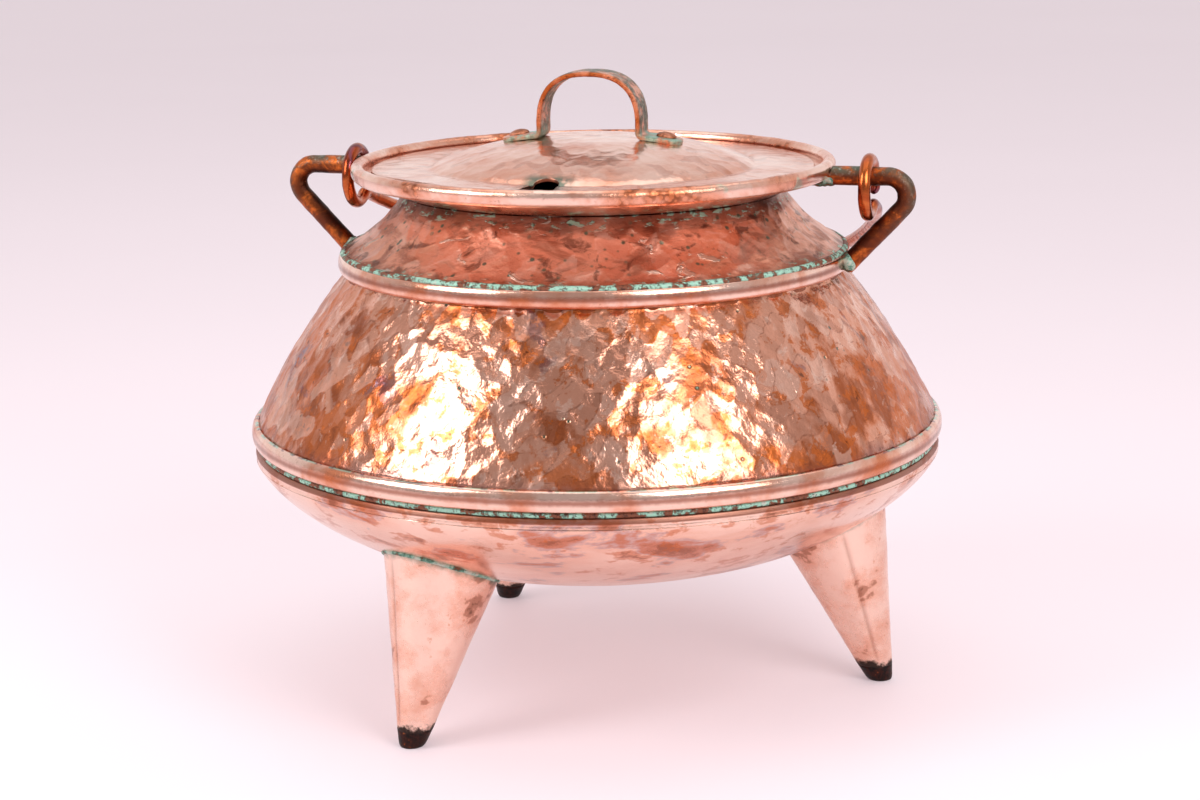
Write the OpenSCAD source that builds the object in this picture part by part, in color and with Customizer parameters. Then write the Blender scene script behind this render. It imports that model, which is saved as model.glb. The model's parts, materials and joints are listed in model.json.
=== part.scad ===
// Lidded three-legged copper cauldron with a swinging bail handle.
// Origin: on the ground under the pot's axis. +Z up, ears along X, ladle notch towards -Y.

/* [Pot body] */
// Outer diameter over the belly bead
belly_d = 330; // [270:5:400]
// How far the shoulder bead stands in from the belly bead, each side
shoulder_in = 43.5; // [30:0.5:60]
// How far the throat stands in from the shoulder bead, each side
throat_in = 31.5; // [20:0.5:45]
// How far the rolled rim stands out from the throat, each side
rim_out = 24.3; // [20:0.1:30]
// Height of the lowest point of the bowl above the ground
bowl_z = 60; // [48:1:90]
// Height of the belly bead above the lowest point of the bowl
bowl_depth = 67; // [55:1:100]
// Height of the shoulder bead above the belly bead
shoulder_rise = 79; // [60:1:110]
// Height of the throat, where the mouth flange starts, above the shoulder bead
throat_rise = 32; // [24:1:60]
// Height of the centre of the rolled rim above the throat
rim_rise = 11.5; // [9:0.5:15]
// Thickness of the body sheet
sheet = 1.5; // [1:0.1:2]
// Height of the belly and shoulder beads, belly first
bead_h = [10, 9]; // [6:0.5:12]
// How far the belly and shoulder beads stand out
bead_out = [3.2, 2.9]; // [1.5:0.1:4]
// Diameter of the wire inside the rolled rim
rim_wire_d = 4; // [3:0.1:5]

/* [Legs] */
// How far the leg tops stand in from the belly bead
leg_in = 50; // [40:1:70]
// How far the feet spread beyond the leg tops
foot_spread = 22; // [5:1:40]
// Diameter of a foot where it stands
foot_d = 12; // [8:0.5:18]
// Diameter of a leg at the bowl
leg_top_d = 50; // [40:1:60]
// Height of the solid tip at the bottom of a leg
tip_h = 8; // [4:0.5:14]
// Angle of the first leg from the right-hand ear
leg_turn = 7; // [-20:1:20]

/* [Lid] */
// Gap all round between the lid and the rolled rim
lid_gap = 3.4; // [1:0.1:6]
// Width of the lid's flat border
lid_border = 28; // [20:1:34]
// Rise of the dome above the border
dome_rise = 12.5; // [6:0.5:20]
// Width of the ladle notch at the lid's edge
notch_w = 18; // [14:0.5:26]
// Depth of the ladle notch from the lid's edge
notch_depth = 33; // [18:0.5:36]
// Width of the handle strap
strap_w = 17; // [12:0.5:22]
// Thickness of the handle strap
strap_t = 3; // [2:0.1:4]
// Outer width of the handle's arch
arch_w = 51; // [40:1:64]
// Height of the handle above the top of the dome
handle_h = 31; // [26:1:42]
// Length of each handle foot beyond the arch
foot_l = 18; // [14:0.5:22]
// Diameter of the rivet shanks
rivet_d = 5; // [3:0.5:6]

/* [Ears and bail] */
// Diameter of the bent rod of the ears
ear_rod_d = 9; // [7:0.1:11]
// Distance from the rim's edge to the outermost rod centre of an ear
ear_reach = 35; // [30:1:46]
// Bend radius of the ear rod
ear_bend_r = 8.8; // [7:0.1:11]
// Diameter of the bail rod
bail_rod_d = 6.2; // [5:0.1:7.6]
// Mean radius of the bail's hook loops
hook_r = 12.8; // [11:0.1:16]
// Mean radius of the reverse bend behind each hook
hook_back_r = 6.5; // [5:0.1:9]
// Gap between the rim and the nearer hook
hook_gap = 1.3; // [0.8:0.1:3]
// How far the bail hangs off centre, towards the right-hand ear
bail_shift = 6.5; // [0:0.5:7]
// Side arc radius of the bail
bail_side_r = 233; // [180:1:300]

/* [Hidden] */
$fn = 96;

// Body profile
belly_r = belly_d / 2;
shoulder_r = belly_r - shoulder_in;
throat_r = shoulder_r - throat_in;
mouth_r = throat_r + rim_out;
belly_z = bowl_z + bowl_depth;
shoulder_z = belly_z + shoulder_rise;
throat_z = shoulder_z + throat_rise;
belly_wall_r = belly_r - bead_out[0];
shoulder_wall_r = shoulder_r - bead_out[1];
collar_over = 0.5;               // straight collar showing beyond a bead
seam_w = 2.2;                    // height of the solder line between bowl and belly bead
seam_z = belly_z - bead_h[0] / 2 - seam_w;
bowl_out = 1.8;                  // the bowl's upright edge stands out this far from the belly wall
bowl_r = belly_wall_r + bowl_out;
bowl_round = 5;                  // height of the bowl's upright edge
bowl_edge_z = seam_z - bowl_round;
bowl_edge_in = 1;                // the upright edge leans in by this much
bowl_lip_w = 5.5;                // inward lip that carries the belly shell
bowl_power = [2.7, 0.78];        // fullness of the bowl's curve, across and down
belly_bulge = 2.5;
neck_hollow = 2.5;
neck_collar = 1.5;               // straight collar between the shoulder bead and the neck
solder_h = 3;                    // height of the solder fillet on the shoulder bead
solder_foot = 0.6;               // width of the fillet's lower edge
solder_edge = 0.5;               // thickness of the belly solder at its upper edge
profile_steps = 12;
joint_step = 0.02;               // every second length of a bent rod is thinner by this
joint_lap = 0.3;                 // and runs this far into its neighbours

// Rim
rim_sheet = 1.3;
roll_r = rim_wire_d / 2 + rim_sheet;
roll_c = mouth_r - roll_r;
rim_z = throat_z + rim_rise;
seat_under_z = rim_z - roll_r;
seat_z = seat_under_z + rim_sheet;
seat_w = 12;                     // flat land from the roll's centre inwards
flare_hollow = 1.2;

// Legs
LEG_NAMES = ["front", "right", "rear"];
LEG_ANGLES = [leg_turn - 120, leg_turn, leg_turn + 120];
leg_top_up = 12;                 // height above the bowl's lowest point where leg_top_d is measured
leg_top_z = bowl_z + leg_top_up;
foot_circle_r = belly_r - leg_in + foot_spread;
leg_tilt = atan(foot_spread / leg_top_z);
leg_l = norm([foot_spread, leg_top_z]);
leg_flare = (leg_top_d - foot_d) / 2 / leg_l;
leg_wall = 2;
leg_over = 0.7 * (bowl_edge_z - leg_top_z); // length of cone cut away inside the bowl
leg_under = 6;                   // length of cone cut away below the ground
braze_w = 1.6;
big = 2 * belly_d;               // size of cutting blocks

// Lid
lid_sheet = 1.5;
lid_r = roll_c - roll_r - lid_gap;
crease_r = lid_r - lid_border;
border_rise = 1.2;
lid_under_z = seat_z;
lid_top_z = lid_under_z + lid_sheet + border_rise;
dome_r = (crease_r * crease_r + dome_rise * dome_rise) / (2 * dome_rise);
dome_c = lid_top_z + dome_rise - dome_r;
notch_taper = 0.74;              // width of the notch's round end over its width at the edge
notch_end_r = notch_taper * notch_w / 2;
arch_r = arch_w / 2;
arch_c = dome_c + dome_r + handle_h - arch_r;
strap_dig = 2;                   // the strap blank reaches this far into the dome, then is cut to it
foot_tip_r = 6;
rivet_out = 1;                   // rivets stand this far outwards of the middle of a foot
rivet_x = arch_r + foot_l / 2 + rivet_out;
rivet_tilt = asin(rivet_x / dome_r);
rivet_head_r = 4.9;
rivet_head_h = 2.6;
burr_r = 5.5;
burr_t = 1.2;
burr_sag = 0.04 + burr_r * burr_r / (2 * dome_r); // the sheet's hollow under a flat burr, and clearance

// Ears: rod centre line in the XZ plane
ear_rod_r = ear_rod_d / 2;
ear_drop = 3;                    // the rod's centre lies this far below the centre of the rim
ear_under = 6;                   // length of rod inside the rim's centre
ear_root_out = 1.5;              // where the limb's centre line meets the shoulder bead
ear_root_up = 0.5;
ear_z = rim_z - ear_drop;
ear_end_x = roll_c - ear_under;
ear_bend_x = mouth_r + ear_reach - ear_bend_r;
ear_bend_z = ear_z - ear_bend_r;
ear_root = [shoulder_r + ear_root_out, shoulder_z + ear_root_up];
ear_root_d = norm([ear_bend_x, ear_bend_z] - ear_root);
limb_tilt = atan2(ear_bend_z - ear_root[1], ear_bend_x - ear_root[0])
    - asin(ear_bend_r / ear_root_d);
limb_l = sqrt(ear_root_d * ear_root_d - ear_bend_r * ear_bend_r);
limb_over = ear_rod_r + 0.5;     // rod cut away inside the pot's wall
ear_braze_t = 1.6;
ear_braze_r = 8;

// Bail: hook angles in the YZ plane, measured at the loop's centre from +Y
fit_gap = 0.05;                  // radial running clearance of a hook on its ear
bail_rod_r = bail_rod_d / 2;
hook_hang = hook_r - bail_rod_r - ear_rod_r - fit_gap;
hook_cut = -22;
hook_turn = 56.4;
hook_back = (hook_r + hook_back_r) * [cos(hook_turn), -sin(hook_turn)] - [0, hook_hang];
shank_l = 4;
bail_half = mouth_r + hook_gap + bail_rod_r + bail_shift;
bail_start_r = 30;
bail_a1 = 9.3;
bail_a2 = 28;
bail_crown_r = (bail_half - bail_start_r - (bail_side_r - bail_start_r) * cos(bail_a1))
    / cos(bail_a2) + bail_side_r;
side_c = (bail_start_r - bail_side_r) * [cos(bail_a1), sin(bail_a1)] + [bail_half - bail_start_r, 0];
crown_c = [0, side_c[1] + (bail_side_r - bail_crown_r) * sin(bail_a2)];
rest_gap = 0.6;                  // air between the resting bail and the pot
rest_step = 0.25;
rest_limit = 80;
wall_slope = 1.15;               // half the rod's width, seen level, over its radius

// Points on the arc from a to b that bulges to its right by sag, moved inwards by off
function arc_pts(a, b, sag, off = 0) =
    let (c = b - a, l = norm(c), out = [c[1], -c[0]] / l, s = sign(sag),
        r = (l * l / 4 + sag * sag) / (2 * abs(sag)),
        m = (a + b) / 2 - s * out * (r - abs(sag)),
        a0 = atan2(a[1] - m[1], a[0] - m[0]), a1 = atan2(b[1] - m[1], b[0] - m[0]))
    [for (i = [0 : profile_steps]) let (t = a0 + (a1 - a0) * i / profile_steps)
        m + (r - s * off) * [cos(t), sin(t)]];

// Radius of the bead's own curve
function bead_bend(h, out) = (h * h / 4 + out * out) / (2 * out);

function reversed(list) = [for (i = [len(list) - 1 : -1 : 0]) list[i]];

// The bowl's curve from the axis to its edge
function bowl_pts(r, low) =
    [for (i = [0 : profile_steps]) let (t = 90 * i / profile_steps)
        [r * pow(sin(t), 2 / bowl_power[0]),
            bowl_edge_z - (bowl_edge_z - low) * pow(cos(t), 2 * bowl_power[1])]];

belly_low = [belly_wall_r, belly_z + bead_h[0] / 2 + collar_over];
belly_high = [shoulder_wall_r, shoulder_z - bead_h[1] / 2 - collar_over];
neck_low = [shoulder_wall_r, shoulder_z + bead_h[1] / 2 + neck_collar];
neck_high = [throat_r, throat_z];
seat_edge = [roll_c - seat_w, seat_under_z];

// Outer radius of the pot by height, for finding where the bail comes to rest
pot_side = concat(
    [[seam_z, belly_r], [belly_low[1], belly_r]],
    [for (p = arc_pts(belly_low, belly_high, belly_bulge)) [p[1] + collar_over / 10, p[0]]],
    [[shoulder_z - bead_h[1] / 2, shoulder_r], [shoulder_z + bead_h[1] / 2, shoulder_r]],
    [for (p = arc_pts(neck_low, neck_high, -neck_hollow)) [p[1], p[0]]],
    [[seat_under_z - collar_over, throat_r], [seat_under_z, mouth_r], [rim_z + roll_r, mouth_r]]);

// The end of each shank, where the hoop starts, for a bail lying at angle rest below level
function shank_end(rest) = hook_back + hook_back_r * [sin(rest), cos(rest)]
    + shank_l * [cos(rest), -sin(rest)];

// Centre line of one half of the hoop in its own plane
hoop_half = concat(
    [for (t = [0 : 3 : bail_a2]) side_c + bail_side_r * [cos(t), sin(t)]],
    [for (t = [bail_a2 : 4 : 90]) crown_c + bail_crown_r * [cos(t), sin(t)]]);

// Least air between hoop and pot at angle rest, the left side being nearer by the shift
function bail_air(rest) =
    let (s = shank_end(rest))
    min([for (p = hoop_half)
        let (y = s[0] + p[1] * cos(rest), z = ear_z + s[1] - p[1] * sin(rest))
        norm([p[0] - bail_shift, y]) - lookup(z, pot_side) - bail_rod_r * wall_slope]);

function rest_angle(a) =
    a > rest_limit || bail_air(a + rest_step) < rest_gap ? a : rest_angle(a + rest_step);

bail_rest = rest_angle(0);

// --- Pot body ---

module bowl_solid(grow = 0)
    rotate_extrude()
        polygon(concat(bowl_pts(bowl_r + grow, bowl_z - grow), [[0, bowl_edge_z]]));

module bowl()
    color("#e8b095")
    rotate_extrude()
        polygon(concat(
            bowl_pts(bowl_r, bowl_z),
            [[bowl_r - bowl_edge_in, seam_z], [bowl_r - bowl_lip_w, seam_z],
                [bowl_r - bowl_lip_w, seam_z - sheet], [bowl_r - bowl_edge_in - sheet, seam_z - sheet]],
            reversed(bowl_pts(bowl_r - sheet, bowl_z + sheet))));

module belly_shell()
    color("#b9694a")
    rotate_extrude()
        polygon(concat(
            [[belly_wall_r, seam_z]],
            arc_pts(belly_low, belly_high, belly_bulge),
            [[shoulder_wall_r, shoulder_z], [shoulder_wall_r - sheet, shoulder_z]],
            reversed(arc_pts(belly_low, belly_high, belly_bulge, sheet)),
            [[belly_wall_r - sheet, seam_z]]));

module neck_shell()
    color("#a85736")
    rotate_extrude()
        polygon(concat(
            [[shoulder_wall_r, shoulder_z]],
            arc_pts(neck_low, neck_high, -neck_hollow),
            reversed(arc_pts(neck_low, neck_high, -neck_hollow, sheet)),
            [[shoulder_wall_r - sheet, shoulder_z]]));

module mouth_flange()
    color("#cf8a6a")
    rotate_extrude()
        union() {
            polygon(concat(
                arc_pts(neck_high, seat_edge, flare_hollow),
                [[roll_c, seat_under_z], [roll_c, seat_z], [seat_edge[0], seat_z]],
                reversed(arc_pts(neck_high, seat_edge, flare_hollow, rim_sheet))));
            translate([roll_c, rim_z])
                difference() {
                    circle(roll_r);
                    circle(rim_wire_d / 2);
                }
        }

module rim_wire()
    color("#8a4a30")
    rotate_extrude()
        translate([roll_c, rim_z])
            circle(rim_wire_d / 2);

// Half-round band on a wall of radius r at height z
module bead(r, z, h, out)
    rotate_extrude()
        intersection() {
            translate([r + out - bead_bend(h, out), z])
                circle(bead_bend(h, out));
            translate([r, z - h])
                square([h, 2 * h]);
        }

module belly_bead()
    color("#d9916f")
    bead(belly_wall_r, belly_z, bead_h[0], bead_out[0]);

module shoulder_bead()
    color("#d08663")
    bead(shoulder_wall_r, shoulder_z, bead_h[1], bead_out[1]);

module belly_seam_solder()
    color("#6fae94")
    rotate_extrude()
        polygon([[belly_wall_r, seam_z], [bowl_r - bowl_edge_in, seam_z],
            [belly_wall_r + solder_edge, seam_z + seam_w], [belly_wall_r, seam_z + seam_w]]);

// Half profile of the shoulder bead, deep enough to run into the wall
module shoulder_bead_profile(depth)
    intersection() {
        translate([shoulder_r - bead_bend(bead_h[1], bead_out[1]), shoulder_z])
            circle(bead_bend(bead_h[1], bead_out[1]));
        translate([shoulder_wall_r - depth, shoulder_z - bead_h[1]])
            square([bead_h[1], 2 * bead_h[1]]);
    }

// Fillet on the bead's curve: its underside follows two tangents of the bead.
// With backed, it reaches through the bead into the wall and leaves no space under it
module solder_profile(backed = false) {
    bend = bead_bend(bead_h[1], bead_out[1]);
    middle = [shoulder_r - bend, shoulder_z];
    low = asin((neck_low[1] - solder_h - shoulder_z) / bend);
    high = acos((bend - bead_out[1]) / bend);
    foot = middle + bend * [cos(low), sin(low)];
    under = [middle + bend * [cos(high), sin(high)],
        middle + bend / cos((high - low) / 2) * [cos((high + low) / 2), sin((high + low) / 2)]];
    polygon(concat([neck_low],
        backed ? [[shoulder_wall_r - sheet, shoulder_z]] : under,
        [foot, foot + [solder_foot, 0]]));
}

module shoulder_seam_solder()
    color("#7fb59b")
    rotate_extrude()
        solder_profile();

// --- Legs ---

// Cone along a leg's axis, grown sideways
module leg_cone(grow = 0)
    translate([foot_circle_r, 0, 0])
        rotate([0, -leg_tilt, 0])
            translate([0, 0, -leg_under])
                cylinder(
                    h = leg_under + leg_l + leg_over,
                    r1 = foot_d / 2 + grow - leg_flare * leg_under,
                    r2 = foot_d / 2 + grow + leg_flare * (leg_l + leg_over));

module below(z)
    translate([-big / 2, -big / 2, z - big])
        cube(big);

module above(z)
    translate([-big / 2, -big / 2, z])
        cube(big);

module leg(i)
    color("#e6ab8c")
    rotate([0, 0, LEG_ANGLES[i]])
        difference() {
            leg_cone();
            leg_cone(-leg_wall);
            below(tip_h);
            bowl_solid();
        }

module leg_tip(i)
    color("#3a2c28")
    rotate([0, 0, LEG_ANGLES[i]])
        difference() {
            leg_cone();
            below(0);
            above(tip_h);
        }

module leg_brazes()
    color("#9db8a5")
    for (a = LEG_ANGLES)
        rotate([0, 0, a])
            difference() {
                intersection() {
                    leg_cone(braze_w);
                    bowl_solid(braze_w);
                }
                leg_cone();
                bowl_solid();
            }

// --- Bent rods ---

// Arc of rod in the XY plane round centre c, from angle a0 to angle a1. A lapped arc is the
// thinner kind that runs into its neighbours.
module rod_arc(c, r, a0, a1, rod_r, lapped = false) {
    lap = lapped ? joint_lap / r * 180 / PI : 0;
    translate([c[0], c[1], 0])
        rotate([0, 0, a0 - lap])
            rotate_extrude(angle = a1 - a0 + 2 * lap)
                translate([r, 0])
                    circle(lapped ? rod_r - joint_step : rod_r);
}

// --- Ears ---

module ear_blank()
    union() {
        translate([ear_end_x, 0, ear_z])
            rotate([0, 90, 0])
                cylinder(h = ear_bend_x - ear_end_x, r = ear_rod_r);
        translate([ear_bend_x, 0, ear_bend_z])
            rotate([90, 0, 0])
                rod_arc([0, 0], ear_bend_r, limb_tilt - 90, 90, ear_rod_r, true);
        translate([ear_bend_x, 0, ear_bend_z]
                + ear_bend_r * [sin(limb_tilt), 0, -cos(limb_tilt)])
            rotate([0, -90 - limb_tilt, 0])
                cylinder(h = limb_l + limb_over, r = ear_rod_r);
    }

// Everything inside the pot's outer surface from belly to rim, as one turned solid
module pot_at_ear()
    rotate_extrude()
        union() {
            polygon(concat([[0, belly_low[1]]], arc_pts(belly_low, belly_high, belly_bulge),
                arc_pts(neck_low, neck_high, -neck_hollow),
                arc_pts(neck_high, seat_edge, flare_hollow),
                [[roll_c, seat_under_z], [roll_c, rim_z + roll_r], [0, rim_z + roll_r]]));
            translate([roll_c, rim_z])
                circle(roll_r);
            shoulder_bead_profile(sheet);
            solder_profile(backed = true);
        }

module ear(side)
    color("#a4603f")
    rotate([0, 0, 90 - 90 * side])
        difference() {
            ear_blank();
            pot_at_ear();
        }

module ear_top_brazes()
    color("#a9b8a4")
    for (turn = [0, 180])
        rotate([0, 0, turn])
            difference() {
                translate([ear_end_x - ear_braze_t, 0, ear_z])
                    rotate([0, 90, 0])
                        cylinder(h = mouth_r - ear_end_x + ear_braze_t, r = ear_rod_r + ear_braze_t);
                ear_blank();
                pot_at_ear();
                above(seat_under_z);
                below(ear_z - ear_rod_r / 2);
            }

module ear_foot_brazes()
    color("#b3b6ab")
    for (turn = [0, 180])
        rotate([0, 0, turn])
            difference() {
                translate([ear_root[0], 0, ear_root[1]])
                    sphere(ear_braze_r);
                ear_blank();
                pot_at_ear();
            }

// --- Lid ---

module dome_ball(grow = 0)
    translate([0, 0, dome_c])
        sphere(dome_r + grow, $fn = 180);

module notch()
    translate([0, -lid_r, lid_under_z - lid_sheet])
        linear_extrude(4 * lid_sheet + border_rise)
            union() {
                polygon([[-notch_w / 2, -lid_gap], [notch_w / 2, -lid_gap],
                    [notch_end_r, notch_depth - notch_end_r],
                    [-notch_end_r, notch_depth - notch_end_r]]);
                translate([0, notch_depth - notch_end_r])
                    circle(notch_end_r);
            }

// Places a child at each rivet, with +Z square to the dome and 0 on its surface
module at_rivets()
    for (side = [-1, 1])
        translate([0, 0, dome_c])
            rotate([0, side * rivet_tilt, 0])
                translate([0, 0, dome_r])
                    children();

function dome_pts(r, c) =
    [for (i = [0 : profile_steps]) let (t = asin(crease_r / r) * (1 - i / profile_steps))
        [r * sin(t), c + r * cos(t)]];

module lid_plate()
    color("#e9b7a2")
    difference() {
        rotate_extrude()
            polygon(concat(
                [[lid_r, lid_under_z], [lid_r, lid_under_z + lid_sheet]],
                dome_pts(dome_r, dome_c),
                reversed(dome_pts(dome_r - lid_sheet, dome_c)),
                [[seat_edge[0], lid_under_z]]));
        notch();
        at_rivets()
            cylinder(h = 4 * lid_sheet, r = rivet_d / 2, center = true);
    }

// The strap seen from the side: an arch on straight limbs, with a foot along the dome each way
module strap_outline()
    union() {
        difference() {
            translate([0, arch_c])
                circle(arch_r);
            translate([0, arch_c])
                circle(arch_r - strap_t);
            translate([-arch_w, arch_c - 2 * arch_w])
                square([2 * arch_w, 2 * arch_w]);
        }
        for (side = [-1, 1])
            translate([side * (arch_r - strap_t / 2) - strap_t / 2, dome_c + dome_r - 2 * strap_dig])
                square([strap_t, arch_c - dome_c - dome_r + 2 * strap_dig]);
        difference() {
            intersection() {
                translate([0, dome_c])
                    circle(dome_r + strap_t);
                translate([-arch_r - foot_l, dome_c + dome_r - 2 * strap_dig - strap_t])
                    square([arch_w + 2 * foot_l, handle_h]);
            }
            translate([-arch_r + strap_t / 2, dome_c])
                square([arch_w - strap_t, 2 * dome_r]);
            translate([0, dome_c])
                circle(dome_r - strap_dig);
        }
    }

module lid_handle()
    color("#b4704f")
    difference() {
        rotate([90, 0, 0])
            translate([0, 0, -strap_w / 2])
                linear_extrude(strap_w)
                    strap_outline();
        dome_ball();
        for (turn = [0, 180])
            rotate([0, 0, turn])
                foot_end_cut();
        at_rivets()
            cylinder(h = 4 * strap_t, r = rivet_d / 2, center = true);
    }

// Takes the corners off a strap foot, leaving a rounded end
module foot_end_cut()
    translate([arch_r + foot_l - foot_tip_r, 0, dome_c])
        linear_extrude(dome_r + handle_h)
            difference() {
                translate([0, -strap_w])
                    square([2 * foot_tip_r, 2 * strap_w]);
                translate([0, -strap_w / 2 + foot_tip_r])
                    square([foot_tip_r, strap_w - 2 * foot_tip_r]);
                for (side = [-1, 1])
                    translate([0, side * (strap_w / 2 - foot_tip_r)])
                        circle(foot_tip_r);
            }

module lid_rivets()
    color("#c77f5c")
    at_rivets()
        rotate_extrude()
            polygon(concat(
                [[0, -lid_sheet - burr_t], [rivet_d / 2, -lid_sheet - burr_t], [rivet_d / 2, strap_t]],
                [for (t = [0 : 15 : 90])
                    [rivet_head_r * cos(t), strap_t + rivet_head_h * sin(t)]]));

module lid_rivet_burrs()
    color("#9a5a3c")
    at_rivets()
        translate([0, 0, -lid_sheet - burr_t])
            difference() {
                cylinder(h = burr_t - burr_sag, r = burr_r);
                cylinder(h = 3 * burr_t, r = rivet_d / 2, center = true);
            }

// --- Bail ---

// Hook loop, reverse bend and shank, drawn in a plane of constant X
module bail_hook()
    rotate([90, 0, 90])
        union() {
            rod_arc([0, -hook_hang], hook_r, hook_cut, 360 - hook_turn, bail_rod_r);
            rod_arc(hook_back, hook_back_r, 90 - bail_rest, 180 - hook_turn, bail_rod_r, true);
            translate(hook_back + hook_back_r * [sin(bail_rest), cos(bail_rest)])
                rotate([0, 0, -bail_rest])
                    rotate([0, 90, 0])
                        cylinder(h = shank_l, r = bail_rod_r);
        }

module bail_hoop() {
    start_c = [bail_half - bail_start_r, 0];
    s = shank_end(bail_rest);
    translate([0, s[0], s[1]])
        rotate([-bail_rest, 0, 0]) {
            rod_arc(crown_c, bail_crown_r, bail_a2, 180 - bail_a2, bail_rod_r, true);
            for (side = [0, 1])
                mirror([side, 0, 0]) {
                    rod_arc(start_c, bail_start_r, 0, bail_a1, bail_rod_r, true);
                    rod_arc(side_c, bail_side_r, bail_a1, bail_a2, bail_rod_r);
                }
        }
}

module bail()
    color("#8c3f22")
    translate([bail_shift, 0, ear_z])
        union() {
            bail_hoop();
            for (side = [-1, 1])
                translate([side * bail_half, 0, 0])
                    bail_hook();
        }

bowl();
belly_shell();
neck_shell();
mouth_flange();
rim_wire();
belly_bead();
shoulder_bead();
belly_seam_solder();
shoulder_seam_solder();
for (i = [0 : 2]) {
    leg(i);
    leg_tip(i);
}
leg_brazes();
ear(1);  // ear_right
ear(-1);  // ear_left
ear_top_brazes();
ear_foot_brazes();
lid_plate();
lid_handle();
lid_rivets();
lid_rivet_burrs();
bail();
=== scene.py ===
import json

import bpy
import numpy as np
from mathutils import Matrix, Vector


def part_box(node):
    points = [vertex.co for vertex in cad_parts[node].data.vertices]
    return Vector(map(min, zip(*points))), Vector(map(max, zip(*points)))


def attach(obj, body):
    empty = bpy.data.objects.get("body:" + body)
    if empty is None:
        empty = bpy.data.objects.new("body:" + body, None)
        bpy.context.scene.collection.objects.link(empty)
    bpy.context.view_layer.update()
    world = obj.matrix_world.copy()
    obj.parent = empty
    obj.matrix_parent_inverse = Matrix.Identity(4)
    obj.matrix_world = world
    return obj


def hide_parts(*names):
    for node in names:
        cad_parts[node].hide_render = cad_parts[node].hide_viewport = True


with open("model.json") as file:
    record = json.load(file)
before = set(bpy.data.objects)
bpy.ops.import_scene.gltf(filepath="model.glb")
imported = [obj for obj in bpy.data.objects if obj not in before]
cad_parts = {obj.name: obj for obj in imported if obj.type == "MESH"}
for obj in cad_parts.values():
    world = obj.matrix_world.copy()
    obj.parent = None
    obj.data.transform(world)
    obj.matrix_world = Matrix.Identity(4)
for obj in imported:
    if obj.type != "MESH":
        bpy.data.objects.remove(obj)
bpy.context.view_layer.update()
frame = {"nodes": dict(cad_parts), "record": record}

bl_info = {
    "name": "Copper tripod cauldron",
    "version": (1, 0, 0),
    "blender": (4, 5, 0),
    "location": "View3D > Sidebar > Cauldron",
    "description": "Hammered copper cauldron with a lid, rod ears and a swinging bail",
    "category": "Add Mesh",
}

MM = 0.001
LID_BORDER_MM = 28.0        # flat border outside the lid's crease
CREASE_UP_MM = 2.7          # crease over the lid's lowest point
BOWL_EDGE_MM = 5.0          # upright edge of the bowl
BOWL_BULGE = 2.7            # 2 is an ellipse, more is fuller at the side
ROLL_MM = 3.3               # radius of the rolled rim
HINGE_MM = np.array(frame["record"]["behaviour"]["joints"][1]["pos_m"]) / MM
FEET_MM = {
    mount["name"].split("_")[1]: np.array(mount["pos_m"]) / MM
    for mount in frame["record"]["mounts"] if mount["name"].startswith("foot_")
}


def span(node):
    """Lowest and highest corner of a CAD node, in millimetres."""
    low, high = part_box(node)
    return np.array(low) / MM, np.array(high) / MM


def tint(code):
    """Linear colour of a six-digit screen colour."""
    part = np.array([int(code[i:i + 2], 16) for i in (0, 2, 4)]) / 255
    linear = np.where(part <= 0.04045, part / 12.92, ((part + 0.055) / 1.055) ** 2.4)
    return (*linear.tolist(), 1.0)


# ---------------------------------------------------------------- sizes and colours

def length_prop(name, description, default):
    return bpy.props.FloatProperty(
        name=name, description=description, default=default, min=0.0, unit="LENGTH", precision=4)


def colour_prop(name, description, code):
    return bpy.props.FloatVectorProperty(
        name=name, description=description, default=tint(code), size=4, min=0.0, max=1.0,
        subtype="COLOR")


class CauldronSizes(bpy.types.PropertyGroup):
    """Sizes that the CAD boxes don't give."""
    throat: length_prop("Throat radius", "Outer radius of the neck under the mouth", 0.090)
    sheet: length_prop("Sheet", "Thickness of the body sheet", 0.0015)
    ear_rod: length_prop("Ear rod", "Diameter of the rod of the ears", 0.009)
    bail_rod: length_prop("Bail rod", "Diameter of the bail rod", 0.0062)
    mark: length_prop("Hammer mark", "Distance between the hammer marks on the belly", 0.0105)
    mark_depth: length_prop("Mark depth", "Depth of the hammer marks on the belly", 0.0010)
    lid_mark: length_prop("Lid mark", "Distance between the dents of the lid", 0.0075)


class CauldronColours(bpy.types.PropertyGroup):
    """Colours of the finishes."""
    pink: colour_prop("Pale copper", "Freshly polished copper", "f4cfbd")
    salmon: colour_prop("Salmon copper", "Polished copper in the light", "e3a388")
    orange: colour_prop("Orange copper", "Heat-stained copper", "c8682f")
    # Brown is also used for painted light: the painted reflection in the beads' middle band and the painted
    # shade along the belly's hammer-mark ridges.
    brown: colour_prop("Brown copper", "Tarnished copper", "84452c")
    umber: colour_prop("Dark brown", "Heaviest tarnish", "3b1f19")
    violet: colour_prop("Violet stain", "Heat colours of the belly", "6c4a5c")
    steel: colour_prop("Blue stain", "Bluish heat colours", "8d90a6")
    mint: colour_prop("Verdigris", "Pale green of the joints", "9fcdb8")
    moss: colour_prop("Dark verdigris", "Deep green in the corners", "3f6a5a")
    solder: colour_prop("Solder", "Grey-white solder", "c4c0b2")
    blood: colour_prop("Bail red", "Dark glossy red-brown of the bail", "8a3418")
    # Soot is also used as painted shade on the inside of the ears' loops.
    soot: colour_prop("Soot", "Dark tips and hollows", "1c1716")


def colours():
    return bpy.context.scene.cauldron_colours


def sizes():
    return bpy.context.scene.cauldron_sizes


# ---------------------------------------------------------------- shader expressions

def feed(tree, socket, value):
    """Puts a value or a link into a socket."""
    if isinstance(value, Flow):
        tree.links.new(value.socket, socket)
    elif hasattr(value, "__len__"):
        socket.default_value = tuple(value)
    else:
        socket.default_value = value


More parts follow.
